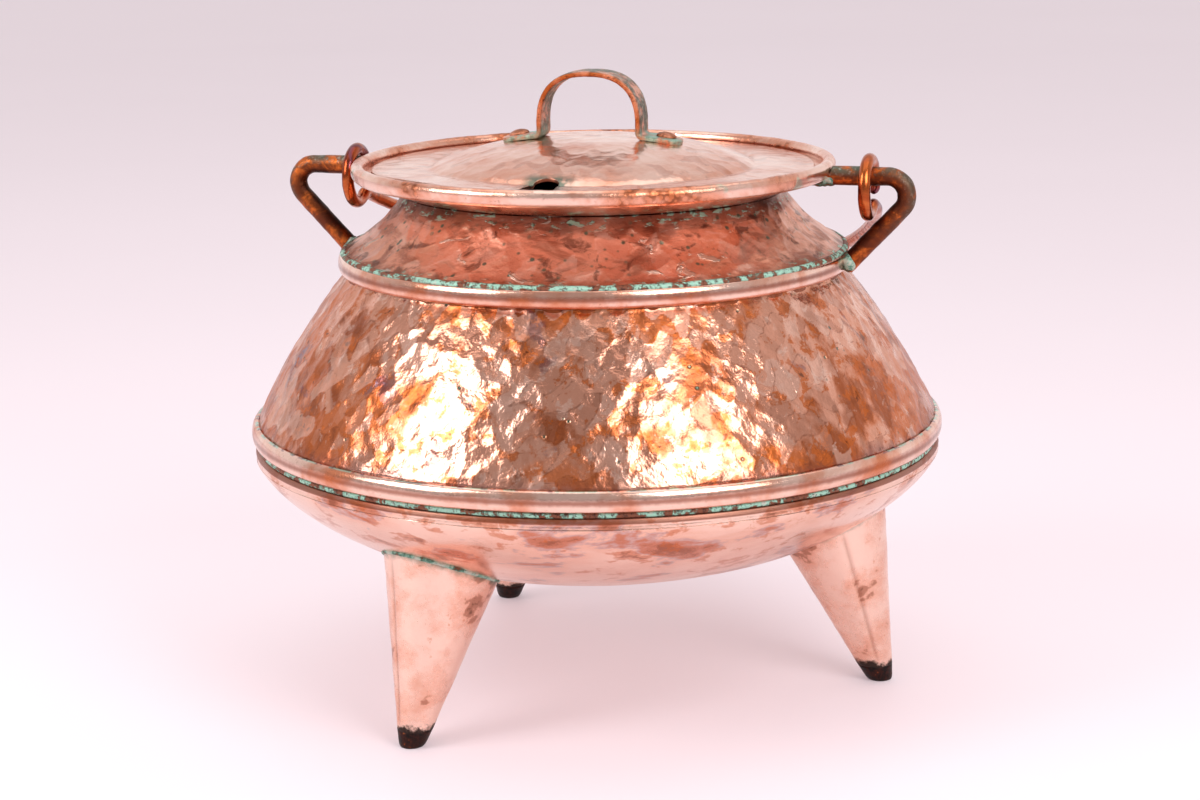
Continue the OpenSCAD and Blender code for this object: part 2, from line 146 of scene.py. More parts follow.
class Flow:
    """A socket that arithmetic works on; each operator adds one Math node."""

    def __init__(self, tree, socket):
        self.tree = tree
        self.socket = socket

    def math(self, operation, other=0.0, swapped=False):
        node = self.tree.nodes.new("ShaderNodeMath")
        node.operation = operation
        pair = (other, self) if swapped else (self, other)
        for socket, value in zip(node.inputs, pair):
            feed(self.tree, socket, value)
        return Flow(self.tree, node.outputs[0])

    def __add__(self, other):
        return self.math("ADD", other)

    def __sub__(self, other):
        return self.math("SUBTRACT", other)

    def __mul__(self, other):
        return self.math("MULTIPLY", other)

    def __truediv__(self, other):
        return self.math("DIVIDE", other)

    def __pow__(self, other):
        return self.math("POWER", other)

    def __rsub__(self, other):
        return self.math("SUBTRACT", other, swapped=True)

    __radd__ = __add__
    __rmul__ = __mul__


class Finish:
    """A material being made: one shader, and nodes added by expressions."""

    def __init__(self, name, constants):
        self.material = bpy.data.materials.new(f"{name}_finish")
        self.material.use_nodes = True
        self.tree = self.material.node_tree
        self.tree.nodes.clear()
        self.shader = self.tree.nodes.new("ShaderNodeBsdfPrincipled")
        out = self.tree.nodes.new("ShaderNodeOutputMaterial")
        self.tree.links.new(self.shader.outputs[0], out.inputs[0])
        for key, value in constants.items():
            self.shader.inputs[key].default_value = value
        self.place = self.add("ShaderNodeTexCoord", out="Object")

    def add(self, kind, settings=None, sockets=None, out=0):
        node = self.tree.nodes.new(kind)
        for key, value in (settings or {}).items():
            setattr(node, key, value)
        for key, value in (sockets or {}).items():
            feed(self.tree, node.inputs[key], value)
        return Flow(self.tree, node.outputs[out])

    def attribute(self, name):
        return self.add("ShaderNodeAttribute", {"attribute_name": name}, out="Fac")

    def height(self):
        return self.add("ShaderNodeSeparateXYZ", sockets={0: self.place}, out="Z") * (1 / MM)

    def stretched(self, stretch, shift=0.0):
        return self.add("ShaderNodeMapping", sockets={
            "Vector": self.place, "Location": (shift, shift, shift), "Scale": stretch})

    def noise(self, size, detail=4.0, rough=0.55, stretch=(1, 1, 1), twist=0.0, shift=0.0):
        """Noise with features of about size millimetres."""
        return self.add("ShaderNodeTexNoise", sockets={
            "Vector": self.stretched(stretch, shift), "Scale": 1 / (size * MM),
            "Detail": detail, "Roughness": rough, "Distortion": twist})

    def cells(self, size, stretch=(1, 1, 1), shift=0.0, out="Distance"):
        return self.add("ShaderNodeTexVoronoi", sockets={
            "Vector": self.stretched(stretch, shift), "Scale": 1 / (size * MM)}, out=out)

    def fade(self, value, low, high):
        """0 where value is low, 1 where it is high, smooth between."""
        return self.add("ShaderNodeMapRange", {"interpolation_type": "SMOOTHSTEP"}, {
            "Value": value, "From Min": low, "From Max": high})

    def blend(self, share, first, second):
        return self.add("ShaderNodeMix", {"data_type": "RGBA"}, {0: share, 6: first, 7: second}, out=2)

    def layer(self, colour, *coats):
        """Lays coats of (share, colour) over a colour, in order."""
        for share, coat in coats:
            colour = self.blend(share, colour, coat)
        return colour

    def done(self, colour, roughness, bump, depth=0.12, metallic=None):
        feed(self.tree, self.shader.inputs["Base Color"], colour)
        feed(self.tree, self.shader.inputs["Roughness"], roughness)
        if metallic is not None:
            feed(self.tree, self.shader.inputs["Metallic"], metallic)
        normal = self.add("ShaderNodeBump", sockets={
            "Strength": 1.0, "Distance": depth * MM, "Height": bump}, out="Normal")
        self.tree.links.new(normal.socket, self.shader.inputs["Normal"])
        return self.material


# ---------------------------------------------------------------- finishes

def hammered_copper():
    """Belly: pink to orange-brown in drifts, violet and blue heat colours, teal pits, dark foot."""
    c = colours()
    f = Finish("hammered_copper", {"Metallic": 1.0})
    mark = f.attribute("mark")
    ridge = f.attribute("ridge")
    inside = f.attribute("inside")
    z = f.height()
    drift = f.noise(80, 3, 0.5, (1, 1, 1.3), 0.2)
    smear = f.noise(30, 6, 0.62, (1, 1, 0.8), 0.3, 0.7)
    flake = f.cells(4.5, (1, 1, 0.7), 0.3, "Color")
    grain = f.noise(3.2, 4, 0.7)
    heat = f.noise(42, 5, 0.6, (1.2, 1.2, 0.9), 0.3, 2.1)
    foot = f.fade(z + smear * 16, 146, 133)
    pit = f.fade(f.cells(7.5, shift=1.3), 0.16, 0.07) * f.fade(f.noise(26, 3, shift=4.0), 0.5, 0.62)
    rust = f.noise(11, 6, 0.68, (1, 1, 0.9), 0.3, 11.0)
    warm = f.fade(drift * 0.6 + smear * 0.4, 0.46, 0.53)
    colour = f.layer(
        f.blend(warm * 0.85, c.salmon, c.orange),
        (warm * f.fade(smear, 0.52, 0.60) * 0.55, c.brown),
        (f.fade(heat, 0.64, 0.67) * 0.5, c.violet),
        (f.fade(heat, 0.70, 0.73) * 0.5, c.steel),
        (f.fade(rust, 0.54, 0.58) * 0.8, c.orange),
        (f.fade(rust, 0.64, 0.68) * 0.7, c.umber),
        (f.fade(rust, 0.42, 0.36) * 0.5, c.pink),
        (f.fade(mark, 0.60, 0.9) * 0.35, c.pink),
        (f.fade(mark, 0.35, 0.05) * 0.30, c.brown),
        (f.fade(flake, 0.72, 0.95) * 0.18, c.pink),
        (f.fade(flake, 0.25, 0.05) * 0.22, c.umber),
        # Painted shade: dark brown lines along the ridges between hammer marks, standing in for the dark
        # gaps between the facets' glints.
        (f.fade(ridge, 0.09, 0.0) * 0.55, c.brown),
        (foot * 0.6, c.violet),
        (foot * f.fade(grain, 0.5, 0.65) * 0.7, c.umber),
        (pit * 0.85, c.moss),
        (inside * 0.8, c.brown))
    rough = 0.15 + warm * 0.10 + f.fade(rust, 0.54, 0.66) * 0.10 + grain * 0.08 + foot * 0.08 + inside * 0.2
    return f.done(colour, rough, grain * 0.35 + f.noise(8, 3, 0.5, shift=9.0) * 3.2 - pit, 0.28)


def neck_copper():
    """Neck: level brown streaks, green specks, dark patches under the rim, solder smears."""
    c = colours()
    f = Finish("neck_copper", {"Metallic": 1.0})
    mark = f.attribute("mark")
    inside = f.attribute("inside")
    z = f.height()
    streak = f.noise(26, 6, 0.62, (0.8, 0.8, 2.6), 0.7)
    drift = f.noise(60, 3, 0.5, (1, 1, 1), 0.5, 1.5)
    grain = f.noise(2.6, 5, 0.7)
    rust = f.noise(12, 5, 0.6, (1, 1, 1.3), 0.6, 8.0)
    speck = f.fade(f.cells(6, shift=2.2), 0.24, 0.12) * f.fade(f.noise(18, 3, shift=3.0), 0.46, 0.58)
    top = f.fade(z + streak * 12, 234, 245)
    low = f.fade(z - grain * 4, 213, 209)
    dash = f.fade(f.noise(4, 4, 0.6, (0.7, 0.7, 2.0), shift=6.0), 0.56, 0.62) * (
        f.fade(z, 230, 236) + f.fade(z, 214.5, 211.5)).math("MINIMUM", 1.0)
    smear = f.fade(f.noise(17, 5, 0.6, (1, 1, 1.6), 1.0, 5.0), 0.62, 0.68)
    colour = f.layer(
        f.blend(f.fade(drift, 0.44, 0.70) * 0.45, c.salmon, c.orange),
        (f.fade(streak, 0.48, 0.60) * 0.6, c.brown),
        (f.fade(mark, 0.6, 1.0) * 0.30, c.pink),
        (f.fade(mark, 0.4, 0.0) * 0.16, c.brown),
        (f.fade(streak, 0.44, 0.34) * 0.4, c.pink),
        (f.fade(rust, 0.56, 0.66) * 0.65, c.umber),
        (top * 0.8, c.umber),
        (low * 0.6, c.brown),
        (speck * 0.85, c.moss),
        (dash * 0.9, c.mint),
        (smear * 0.6, c.solder),
        (inside * 0.8, c.brown))
    rough = 0.26 + f.fade(streak, 0.4, 0.8) * 0.2 + grain * 0.1 + inside * 0.2
    bump = grain * 0.7 + smear * 1.2 + dash * 1.5 + f.noise(9, 3, shift=4.0) * 3
    return f.done(colour, rough, bump, 0.22)


def bowl_copper():
    """Bowl: pale polished salmon, level orange and brown stains with bluish edges, fine scratches."""
    c = colours()
    f = Finish("bowl_copper", {"Metallic": 1.0})
    inside = f.attribute("inside")
    streak = f.noise(44, 6, 0.6, (0.8, 0.8, 2.2), 0.2, 5.3)
    spot = f.noise(16, 6, 0.68, (0.8, 0.8, 1.5), 0.2, 3.0)
    grain = f.noise(1.8, 3, 0.6, (1, 1, 2.5))
    colour = f.layer(
        f.blend(f.fade(streak, 0.38, 0.66) * 0.7, c.pink, c.salmon),
        (f.fade(streak, 0.55, 0.58) * 0.35, c.steel),
        (f.fade(streak, 0.57, 0.62) * 0.65, c.orange),
        (f.fade(streak, 0.62, 0.67) * 0.6, c.brown),
        (f.fade(spot, 0.54, 0.60) * 0.6, c.orange),
        (f.fade(spot, 0.62, 0.67) * 0.55, c.brown),
        (f.fade(spot, 0.36, 0.30) * 0.30, c.steel),
        (inside * 0.8, c.brown))
    rough = 0.16 + f.fade(streak, 0.5, 0.8) * 0.16 + spot * 0.08 + inside * 0.2
    return f.done(colour, rough, grain * 0.6 + spot, 0.09)


def rim_copper():
    """Rim: pale pink with orange-brown zones, a crackle of small cells and dark dots."""
    c = colours()
    f = Finish("rim_copper", {"Metallic": 1.0})
    zone = f.noise(34, 4, 0.6, (1, 1, 1.5), 0.3)
    crack = f.cells(2.4, shift=0.4)
    grain = f.noise(1.9, 4, 0.7)
    rub = f.fade(zone, 0.52, 0.66)
    colour = f.layer(
        f.blend(f.fade(zone, 0.36, 0.54), c.pink, c.salmon),
        (rub * 0.8, c.orange),
        (f.fade(zone, 0.60, 0.74) * 0.6, c.brown),
        (f.fade(grain, 0.60, 0.74) * 0.5, c.brown),
        (f.fade(crack, 0.42, 0.60) * rub * 0.6, c.umber),
        (f.fade(f.noise(21, 3, shift=7.0), 0.64, 0.70) * 0.5, c.mint))
    return f.done(colour, 0.20 + rub * 0.18 + grain * 0.08, grain + crack * rub * 1.6, 0.13)


def bead_copper():
    """Beads: polished, pale above and below a red-brown band in the middle that is painted reflection of
    the dark room, verdigris caught at the edges.
    """
    c = colours()
    f = Finish("bead_copper", {"Metallic": 1.0})
    band = f.attribute("band")
    zone = f.noise(30, 4, 0.6, (1, 1, 1), 0.3)
    grain = f.noise(3, 5, 0.7)
    edge = f.fade(band, 0.86, 1.0)
    colour = f.layer(
        f.blend(f.fade(zone, 0.40, 0.62), c.pink, c.salmon),
        # Painted reflection: the bead's forward-facing middle is painted red-brown for the dark room it
        # would mirror; top and bottom stay pale.
        (f.fade(band + grain * 0.3, 0.62, 0.18) * 0.75, c.brown),
        (f.fade(zone, 0.56, 0.70) * 0.6, c.orange),
        (f.fade(grain, 0.60, 0.72) * 0.35, c.brown),
        (edge * f.fade(f.noise(9, 4, shift=2.0), 0.48, 0.56) * 0.9, c.mint),
        (edge * f.fade(f.noise(6, 3, shift=6.0), 0.52, 0.60) * 0.8, c.violet))
    return f.done(colour, 0.15 + f.fade(zone, 0.5, 0.8) * 0.14 + grain * 0.06, grain, 0.1)


def green_solder():
    """Solder line: pale mint with grey-green edges, broken by dark and copper patches."""
    c = colours()
    f = Finish("green_solder", {"Metallic": 0.25, "Specular IOR Level": 0.4})
    patch = f.noise(7, 5, 0.65)
    grain = f.noise(1.6, 4, 0.7)
    colour = f.layer(
        f.blend(f.fade(patch, 0.46, 0.54), c.moss, c.mint),
        (f.fade(patch, 0.60, 0.68) * 0.8, c.solder),
        (f.fade(patch, 0.52, 0.46) * 0.9, c.brown),
        (f.fade(grain, 0.52, 0.60) * 0.8, c.umber))
    return f.done(colour, 0.42 + grain * 0.3, grain + patch, 0.3)


def grey_solder():
    """Brazing: green to mint under a patchy grey-white crust, brown where it is bare."""
    c = colours()
    f = Finish("grey_solder", {"Metallic": 0.4, "Specular IOR Level": 0.4})
    patch = f.noise(5.5, 5, 0.65, shift=1.0)
    grain = f.noise(1.4, 4, 0.7)
    colour = f.layer(
        f.blend(f.fade(patch, 0.42, 0.60), c.moss, c.mint),
        (f.fade(patch, 0.50, 0.60) * 0.8, c.solder),
        (f.fade(patch, 0.46, 0.38) * 0.8, c.brown),
        (f.fade(grain, 0.55, 0.70) * 0.6, c.umber))
    return f.done(colour, 0.40 + grain * 0.3, grain + patch * 1.3, 0.4)


def leg_copper():
    """Legs: polished, small stains, green at the bowl, soot creeping up from the tip."""
    c = colours()
    f = Finish("leg_copper", {"Metallic": 1.0})
    seam = f.attribute("seam")
    top = f.attribute("top")
    z = f.height()
    stain = f.noise(24, 5, 0.6, (1, 1, 1.3), 0.2, 2.6)
    grain = f.noise(2.2, 4, 0.7)
    ragged = f.noise(6, 5, 0.7, shift=2.0)
    soot = f.fade(z - ragged * 12, 5.5, 3.0)
    colour = f.layer(
        f.blend(f.fade(stain, 0.40, 0.66) * 0.8, c.pink, c.salmon),
        (f.fade(stain, 0.60, 0.64) * 0.55, c.brown),
        (f.fade(stain, 0.66, 0.70) * 0.6, c.umber),
        (f.fade(ragged, 0.64, 0.70) * 0.4, c.orange),
        (seam * 0.35, c.brown),
        (f.fade(top + ragged * 0.08, 0.99, 1.05) * 0.8, c.moss),
        (soot * 0.95, c.soot))
    return f.done(colour, 0.17 + stain * 0.12 + grain * 0.08 + soot * 0.3, grain * 0.7 + ragged * 0.6, 0.12)


def dark_tip():
    """Foot tips: soot-dark metal with copper scuffs."""
    c = colours()
    f = Finish("dark_tip", {"Metallic": 0.8})
    scuff = f.noise(3.5, 5, 0.7)
    colour = f.layer(
        f.blend(f.fade(scuff, 0.4, 0.6), c.soot, c.umber),
        (f.fade(scuff, 0.62, 0.72) * 0.7, c.orange))
    return f.done(colour, 0.38 + scuff * 0.25, scuff, 0.25)


def ear_copper():
    """Ears: brown forged rod, green-grey patina on top, painted shade in the dark soot colour on the side
    of the loop that faces the pot, olive at the brazed end.
    """
    c = colours()
    f = Finish("ear_copper", {"Metallic": 1.0})
    patch = f.noise(11, 5, 0.62, twist=0.8)
    grain = f.noise(2.0, 5, 0.7)
    inner = f.attribute("inner")
    upper = f.attribute("upper")
    colour = f.layer(
        f.blend(f.fade(patch, 0.38, 0.62), c.orange, c.brown),
        (f.fade(patch + grain * 0.3, 0.52, 0.66) * 0.5, c.umber),
        (upper * f.fade(patch, 0.36, 0.60) * 0.7, c.moss),
        (upper * f.fade(grain, 0.52, 0.66) * 0.5, c.solder),
        # Painted shade: the inside of the ear's loop, which faces the pot wall, is darkened with the soot
        # colour.
        (inner * 0.85, c.soot),
        (f.fade(grain, 0.66, 0.76) * 0.5, c.salmon))
    metal = 1.0 - upper * f.fade(patch, 0.4, 0.6) * 0.5
    return f.done(colour, 0.28 + patch * 0.2 + grain * 0.12, grain + patch * 0.8, 0.22, metal)


def lid_copper():
    """Lid: pale pink, soft cloudy stains, dents a little darker, green and dark at the notch."""
    c = colours()
    f = Finish("lid_copper", {"Metallic": 1.0})
    mark = f.attribute("mark")
    notch = f.attribute("notch")
    below = f.attribute("inside")
    cloud = f.noise(40, 5, 0.6, twist=0.2)
    spot = f.noise(9, 5, 0.65, shift=2.0)
    grain = f.noise(1.6, 4, 0.65)
    colour = f.layer(
        f.blend(f.fade(cloud, 0.36, 0.62), c.pink, c.salmon),
        (f.fade(cloud, 0.56, 0.70) * 0.45, c.orange),
        (f.fade(spot, 0.60, 0.72) * 0.35, c.brown),
        (f.fade(mark, 0.55, 1.0) * 0.35, c.pink),
        (f.fade(mark, 0.35, 0.0) * 0.22, c.brown),
        (notch * f.fade(spot, 0.36, 0.52) * 0.8, c.moss),
        (below * 0.75, c.brown))
    rough = 0.13 + f.fade(cloud, 0.4, 0.8) * 0.1 + grain * 0.06 + below * 0.2
    return f.done(colour, rough, grain + spot, 0.1)


def strap_copper():
    """Strap handle: deeply pitted, orange edges, grey-green faces, green at the feet."""
    c = colours()
    f = Finish("strap_copper", {"Metallic": 1.0})
    edge = f.attribute("edge")
    foot = f.attribute("foot")
    pit = f.noise(2.6, 5, 0.75)
    patch = f.noise(9, 4, 0.6, shift=3.0)
    colour = f.layer(
        f.blend(f.fade(patch, 0.36, 0.60), c.salmon, c.brown),
        ((1.0 - edge) * f.fade(patch, 0.38, 0.56) * 0.65, c.moss),
        ((1.0 - edge) * f.fade(pit, 0.50, 0.62) * 0.6, c.solder),
        (edge * 0.6, c.orange),
        (f.fade(pit, 0.46, 0.36) * 0.7, c.umber),
        (foot * f.fade(patch, 0.40, 0.56) * 0.7, c.mint),
        (foot * f.fade(pit, 0.50, 0.64) * 0.6, c.moss))
    return f.done(colour, 0.28 + pit * 0.25, pit * 2 + patch, 0.35, 1.0 - foot * 0.4)


def bail_copper():
    """Bail: dark, glossy orange-red with magenta and violet drifts."""
    c = colours()
    f = Finish("bail_copper", {"Metallic": 1.0, "Coat Roughness": 0.12})
    drift = f.noise(26, 4, 0.6, twist=1.0)
    grain = f.noise(2.4, 4, 0.65)
    colour = f.layer(
        f.blend(f.fade(drift, 0.36, 0.62), c.blood, c.orange),
        (f.fade(drift, 0.44, 0.34) * 0.7, c.violet),
        (f.fade(drift, 0.56, 0.68) * 0.7, c.umber),
        (f.fade(grain, 0.62, 0.74) * 0.45, c.umber))
    feed(f.tree, f.shader.inputs["Coat Weight"], f.fade(drift, 0.2, 0.7) * 0.3)
    return f.done(colour, 0.16 + grain * 0.14, grain * 0.8 + drift, 0.1)


FINISHES = {maker.__name__: maker for maker in (
    hammered_copper, neck_copper, bowl_copper, rim_copper, bead_copper, green_solder, grey_solder,
    leg_copper, dark_tip, ear_copper, lid_copper, strap_copper, bail_copper)}


def finish(slot):
    """The material of a slot, made the first time it is asked for."""
    return bpy.data.materials.get(f"{slot}_finish") or FINISHES[slot]()


# ---------------------------------------------------------------- meshes

def piece(name, points, quads, triangles, tags, slot, body, nodes):
    corners = np.concatenate([quads[:, :3], quads[:, [0, 2, 3]], triangles])
    a, b, d = points[corners[:, 0]], points[corners[:, 1]], points[corners[:, 2]]
    if np.einsum("ij,ij->i", a, np.cross(b, d)).sum() < 0:
        quads = quads[:, ::-1]
        triangles = triangles[:, ::-1]
    mesh = bpy.data.meshes.new(name)
    mesh.from_pydata((points * MM).tolist(), [], quads.tolist() + triangles.tolist())
    for key, values in tags.items():
        layer = mesh.attributes.new(key, "FLOAT", "POINT")
        layer.data.foreach_set("value", values.astype(np.float32))
    mesh.shade_smooth()
    mesh.materials.append(finish(slot))
    obj = bpy.data.objects.new(name, mesh)
    bpy.context.scene.collection.objects.link(obj)
    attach(obj, body)
    if nodes:
        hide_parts(*nodes)
    return obj


def skin(name, grid, slot, body, nodes, loop=False, tags=None):
    """Closed skin over a grid of points that is round in its second direction. A loop joins its last row
    to its first; otherwise each end row is closed by a fan to its middle."""
    rows, columns = grid.shape[:2]
    index = np.arange(rows * columns).reshape(rows, columns)
    near = index if loop else index[:-1]
    far = np.roll(index, -1, axis=0) if loop else index[1:]
    quads = np.stack([near, np.roll(near, -1, axis=1), np.roll(far, -1, axis=1), far], axis=-1)
    points = grid.reshape(-1, 3)
    triangles = np.zeros((0, 3), dtype=int)
    flat = {key: values.reshape(-1) for key, values in (tags or {}).items()}
    if not loop:
        points = np.vstack([points, grid[0].mean(axis=0), grid[-1].mean(axis=0)])
        first = np.stack([np.roll(index[0], -1), index[0], np.full(columns, index.size)], axis=-1)
        last = np.stack([index[-1], np.roll(index[-1], -1), np.full(columns, index.size + 1)], axis=-1)
        triangles = np.concatenate([first, last])
        flat = {key: np.append(values, [values[0], values[-1]]) for key, values in flat.items()}
    return piece(name, points, quads.reshape(-1, 4), triangles, flat, slot, body, nodes)


def full_turn(columns):
    """Angles of a ring's columns, equally spaced."""
    return np.arange(columns) * 2 * np.pi / columns


def circle(angle):
    """Unit vectors (cos t, sin t)."""
    return np.stack([np.cos(angle), np.sin(angle)], axis=-1)


def heading(path):
    """Unit vectors along a path."""
    way = np.gradient(path, axis=0)
    return way / np.linalg.norm(way, axis=1)[:, None]


def run_of(path):
    """Distance along a path at each of its points."""
    return np.append(0, np.cumsum(np.linalg.norm(np.diff(path, axis=0), axis=1)))


def arc(start, end, sag, count):
    """Points on the circle through start and end that bulges to the right of the way by sag."""
    start, end = np.array(start, float), np.array(end, float)
    way = end - start
    chord = np.hypot(*way)
    right = np.array([way[1], -way[0]]) / chord
    radius = (chord * chord / 4 + sag * sag) / (2 * abs(sag))
    centre = (start + end) / 2 - np.sign(sag) * right * (radius - abs(sag))
    first, last = (np.arctan2(*(p - centre)[::-1]) for p in (start, end))
    angle = np.linspace(first, last, count)
    return centre + radius * circle(angle)


def spaced(points, count):
    """The same open outline with count points at equal distances."""
    points = np.array(points, float)
    run = run_of(points)
    at = np.linspace(0, run[-1], count)
    return np.stack([np.interp(at, run, points[:, k]) for k in (0, 1)], axis=-1)


def outward(profile):
    """Unit vectors to the right of an outline's way."""
    way = np.gradient(profile, axis=0)
    way /= np.maximum(np.hypot(*way.T), 1e-9)[:, None]
    return np.stack([way[:, 1], -way[:, 0]], axis=-1)


def around(profile, columns, push=0.0):
    """Turns an outline (r, z) round Z, moved along its own right by push (rows x columns):
    x = r cos t, y = r sin t."""
    right = outward(profile)
    radius = profile[:, :1] + push * right[:, :1]
    height = profile[:, 1:] + push * right[:, 1:]
    angle = full_turn(columns)
    radius = np.broadcast_to(radius, (len(profile), columns))
    height = np.broadcast_to(height, (len(profile), columns))
    return np.stack([radius * np.cos(angle), radius * np.sin(angle), height], axis=-1)


def waves(angle, seed, first, last):
    """Slow unevenness round a turn, 0 to -1: a sum of sines of first to last cycles."""
    draw = np.random.default_rng(seed)
    cycles = np.arange(first, last + 1)
    size = draw.uniform(0.4, 1.0, len(cycles)) / np.sqrt(cycles)
    phase = draw.uniform(0, 2 * np.pi, len(cycles))
    total = (size * np.sin(np.multiply.outer(angle, cycles) + phase)).sum(axis=-1)
    return (total / size.sum() - 1) / 2


def dishes(u, v, length, pitch, seed):
    """Hammer marks on points at distance u round a piece that closes after length, and v along it. The
    surface is the lowest of the dishes d^2 / pitch^2 + lift + tilt . (dx, dy) / pitch over marks on a
    jittered grid, d = (dx, dy) being the way to a mark's centre; the grid itself is bent by two sines.
    Returns the dish (0 deep), the mark's own random number, and how much higher the next dish lies
    (0 on a ridge)."""
    draw = np.random.default_rng(seed)
    turns = int(round(length / pitch / 3.1)) * 2 * np.pi / length
    bent = u + 0.22 * pitch * np.sin(2.1 * v / pitch + np.sin(turns * u))
    v = v + 0.22 * pitch * np.sin(turns * u * 2 + np.sin(1.7 * v / pitch))
    u = bent % length
    across = max(3, int(round(length / pitch)))
    step = length / across
    rise = v - v.min()
    rows = int(rise.max() / pitch) + 7
    jitter = draw.uniform(-0.42, 0.42, (rows, across, 2))
    lift = draw.uniform(0, 0.28, (rows, across))
    tilt = draw.normal(0, 0.16, (rows, across, 2))
    tone = draw.random((rows, across))
    column = np.floor(u / step).astype(int)
    row = np.clip(np.floor(rise / pitch).astype(int) + 3, 2, rows - 3)
    best = np.full(u.shape, 9.0)
    second = best.copy()
    mark = np.zeros(u.shape)
    for down in range(-2, 3):
        for side in range(-2, 3):
            i, j = row + down, (column + side) % across
            dx = (column + side + 0.5 + jitter[i, j, 0]) * step - u
            dy = (i - 2.5 + jitter[i, j, 1]) * pitch - rise
            lean = (dx * tilt[i, j, 0] + dy * tilt[i, j, 1]) / pitch
            dish = (dx * dx + dy * dy) / pitch ** 2 + lift[i, j] + lean
            nearer = dish < best
            second = np.where(nearer, best, np.minimum(second, dish))
            mark = np.where(nearer, tone[i, j], mark)
            best = np.where(nearer, dish, best)
    return best, mark, second - best


def dented(radius, along, columns, pitch, seed):
    """Hammer marks round a bar or ring of a radius, whose rows or points lie at the distances along."""
    v = np.broadcast_to(along, (len(along), columns))
    u = np.broadcast_to(full_turn(columns) * radius, v.shape)
    return dishes(u, v, 2 * np.pi * radius, pitch, seed)


def hammered(outer, inner, columns, pitch, depth, seed, calm=4.0):
    """Shell between an outer and an inner outline, hammered outside. Returns its grid and tags."""
    outer = spaced(outer, 110)
    run = run_of(outer)
    mean = outer[:, 0].mean()
    dish, mark, ridge = dented(mean, run[:, None], columns, pitch, seed)
    ease = np.clip(np.minimum(run, run[-1] - run) / calm, 0, 1)[:, None]
    push = -depth * ease * np.clip(0.75 - dish, 0, 1.2) + 0.5 * waves(
        full_turn(columns), seed + 1, 2, 7)
    inner = spaced(inner, 14)[::-1]
    grid = np.concatenate([around(outer, columns, push), around(inner, columns)])
    blank = np.zeros((len(inner), columns))
    return grid, {
        "mark": np.concatenate([mark, blank + 0.5]), "ridge": np.concatenate([ridge, blank + 0.5]),
        "inside": np.concatenate([np.zeros(mark.shape), blank + 1])}


def swept(path, first, second, radius, columns, push=0.0):
    """Round bar along a path: p + (radius + push) (cos t first + sin t second)."""
    angle = full_turn(columns)
    size = (np.broadcast_to(radius, len(path))[:, None] + push)[..., None]
    ring = (np.cos(angle)[:, None] * first[:, None, :] + np.sin(angle)[:, None] * second[:, None, :])
    return path[:, None, :] + size * ring


def rounded(run, radius, tip):
    """Radius along a bar whose ends are rounded over the length tip."""
    left = np.clip(1 - np.minimum(run, run[-1] - run) / tip, 0, 1)
    return radius * np.sqrt(1 - 0.96 * left * left)


# ---------------------------------------------------------------- pot

def wall_lines():
    """Outer outline of the pot's wall: belly, neck and mouth, and the radii and heights they share."""
    belly_low, belly_high = span("belly_shell")
    neck_high = span("neck_shell")[1]
    bead_1 = span("belly_bead")
    bead_2 = span("shoulder_bead")
    belly = arc((belly_high[0], bead_1[1][2] + 0.5), (neck_high[0], bead_2[0][2] - 0.5), 2.5, 60)
    neck = arc((neck_high[0], bead_2[1][2] + 1.5), (sizes().throat / MM, neck_high[2]), -2.5, 60)
    belly = np.vstack([[belly_high[0], belly_low[2]], belly, [neck_high[0], belly_high[2]]])
    neck = np.vstack([[neck_high[0], belly_high[2]], neck])
    return belly, neck


def inset(profile, wall):
    """Outline moved in by a wall's thickness."""
    return profile - outward(profile) * wall


def bowl_height(radius):
    """Height of the bowl's outer surface: edge - depth cos(t)^1.56, where r = R sin(t)^0.74."""
    low, high = span("bowl")
    edge = high[2] - BOWL_EDGE_MM
    sine = np.clip(radius / high[0], 0, 1) ** (BOWL_BULGE / 2)
    return edge - (edge - low[2]) * np.sqrt(1 - sine * sine) ** 1.56


class CAULDRON_OT_belly(bpy.types.Operator):
    """Make the hammered belly and the neck"""
    bl_idname = "cauldron.belly"
    bl_label = "Belly and neck"

    def execute(self, context):
        s = sizes()
        belly, neck = wall_lines()
        wall = s.sheet / MM
        grid, tags = hammered(
            belly, inset(belly, wall), 800, s.mark / MM, s.mark_depth / MM, 11)
        skin("belly_skin", grid, "hammered_copper", "pot", ["belly_shell"], loop=True, tags=tags)
        grid, tags = hammered(
            neck, inset(neck, wall), 640, 0.9 * s.mark / MM, 0.8 * s.mark_depth / MM, 23, 3.0)
        skin("neck_skin", grid, "neck_copper", "pot", ["neck_shell"], loop=True, tags=tags)
        return {"FINISHED"}


class CAULDRON_OT_bowl(bpy.types.Operator):
    """Make the raised bottom"""
    bl_idname = "cauldron.bowl"
    bl_label = "Bowl"

    def execute(self, context):
        high = span("bowl")[1]
        wall = sizes().sheet / MM
        turn = np.linspace(0.02, np.pi / 2, 90)
        radius = high[0] * np.sin(turn) ** (2 / BOWL_BULGE)
        outer = np.stack([radius, bowl_height(radius)], axis=-1)
        top = high[2]
        edge = arc((high[0] - 0.05, top - BOWL_EDGE_MM), (high[0] - 1.0, top - 0.3), 0.25, 10)
        lip_r, corner_r = high[0] - 5.5, high[0] - 2.5
        lip = [(lip_r, top), (lip_r, top - wall), (corner_r, top - wall)]
        inner = outer[::-1] * [(high[0] - wall) / high[0], 1] + [0, wall]
        profile = np.vstack([outer, edge, lip, inner[1:]])
        columns = 480
        angle = full_turn(columns)
        share = np.clip(profile[:, 0] / high[0], 0, 1)[:, None]
        outside = (np.arange(len(profile)) < len(outer) + 5)[:, None]
        row_gap, mean_r, pitch = 2.3, 120, 22
        dish = dented(mean_r, np.arange(len(profile))[:, None] * row_gap, columns, pitch, 41)[0]
        push = outside * share * (0.8 * waves(angle, 5, 2, 9) - 0.22 * np.clip(0.8 - dish, 0, None))
        grid = around(profile, columns, push)
        inside = np.broadcast_to(1.0 - outside, dish.shape)
        skin("bowl_skin", grid, "bowl_copper", "pot", ["bowl"], tags={"inside": inside})
        return {"FINISHED"}


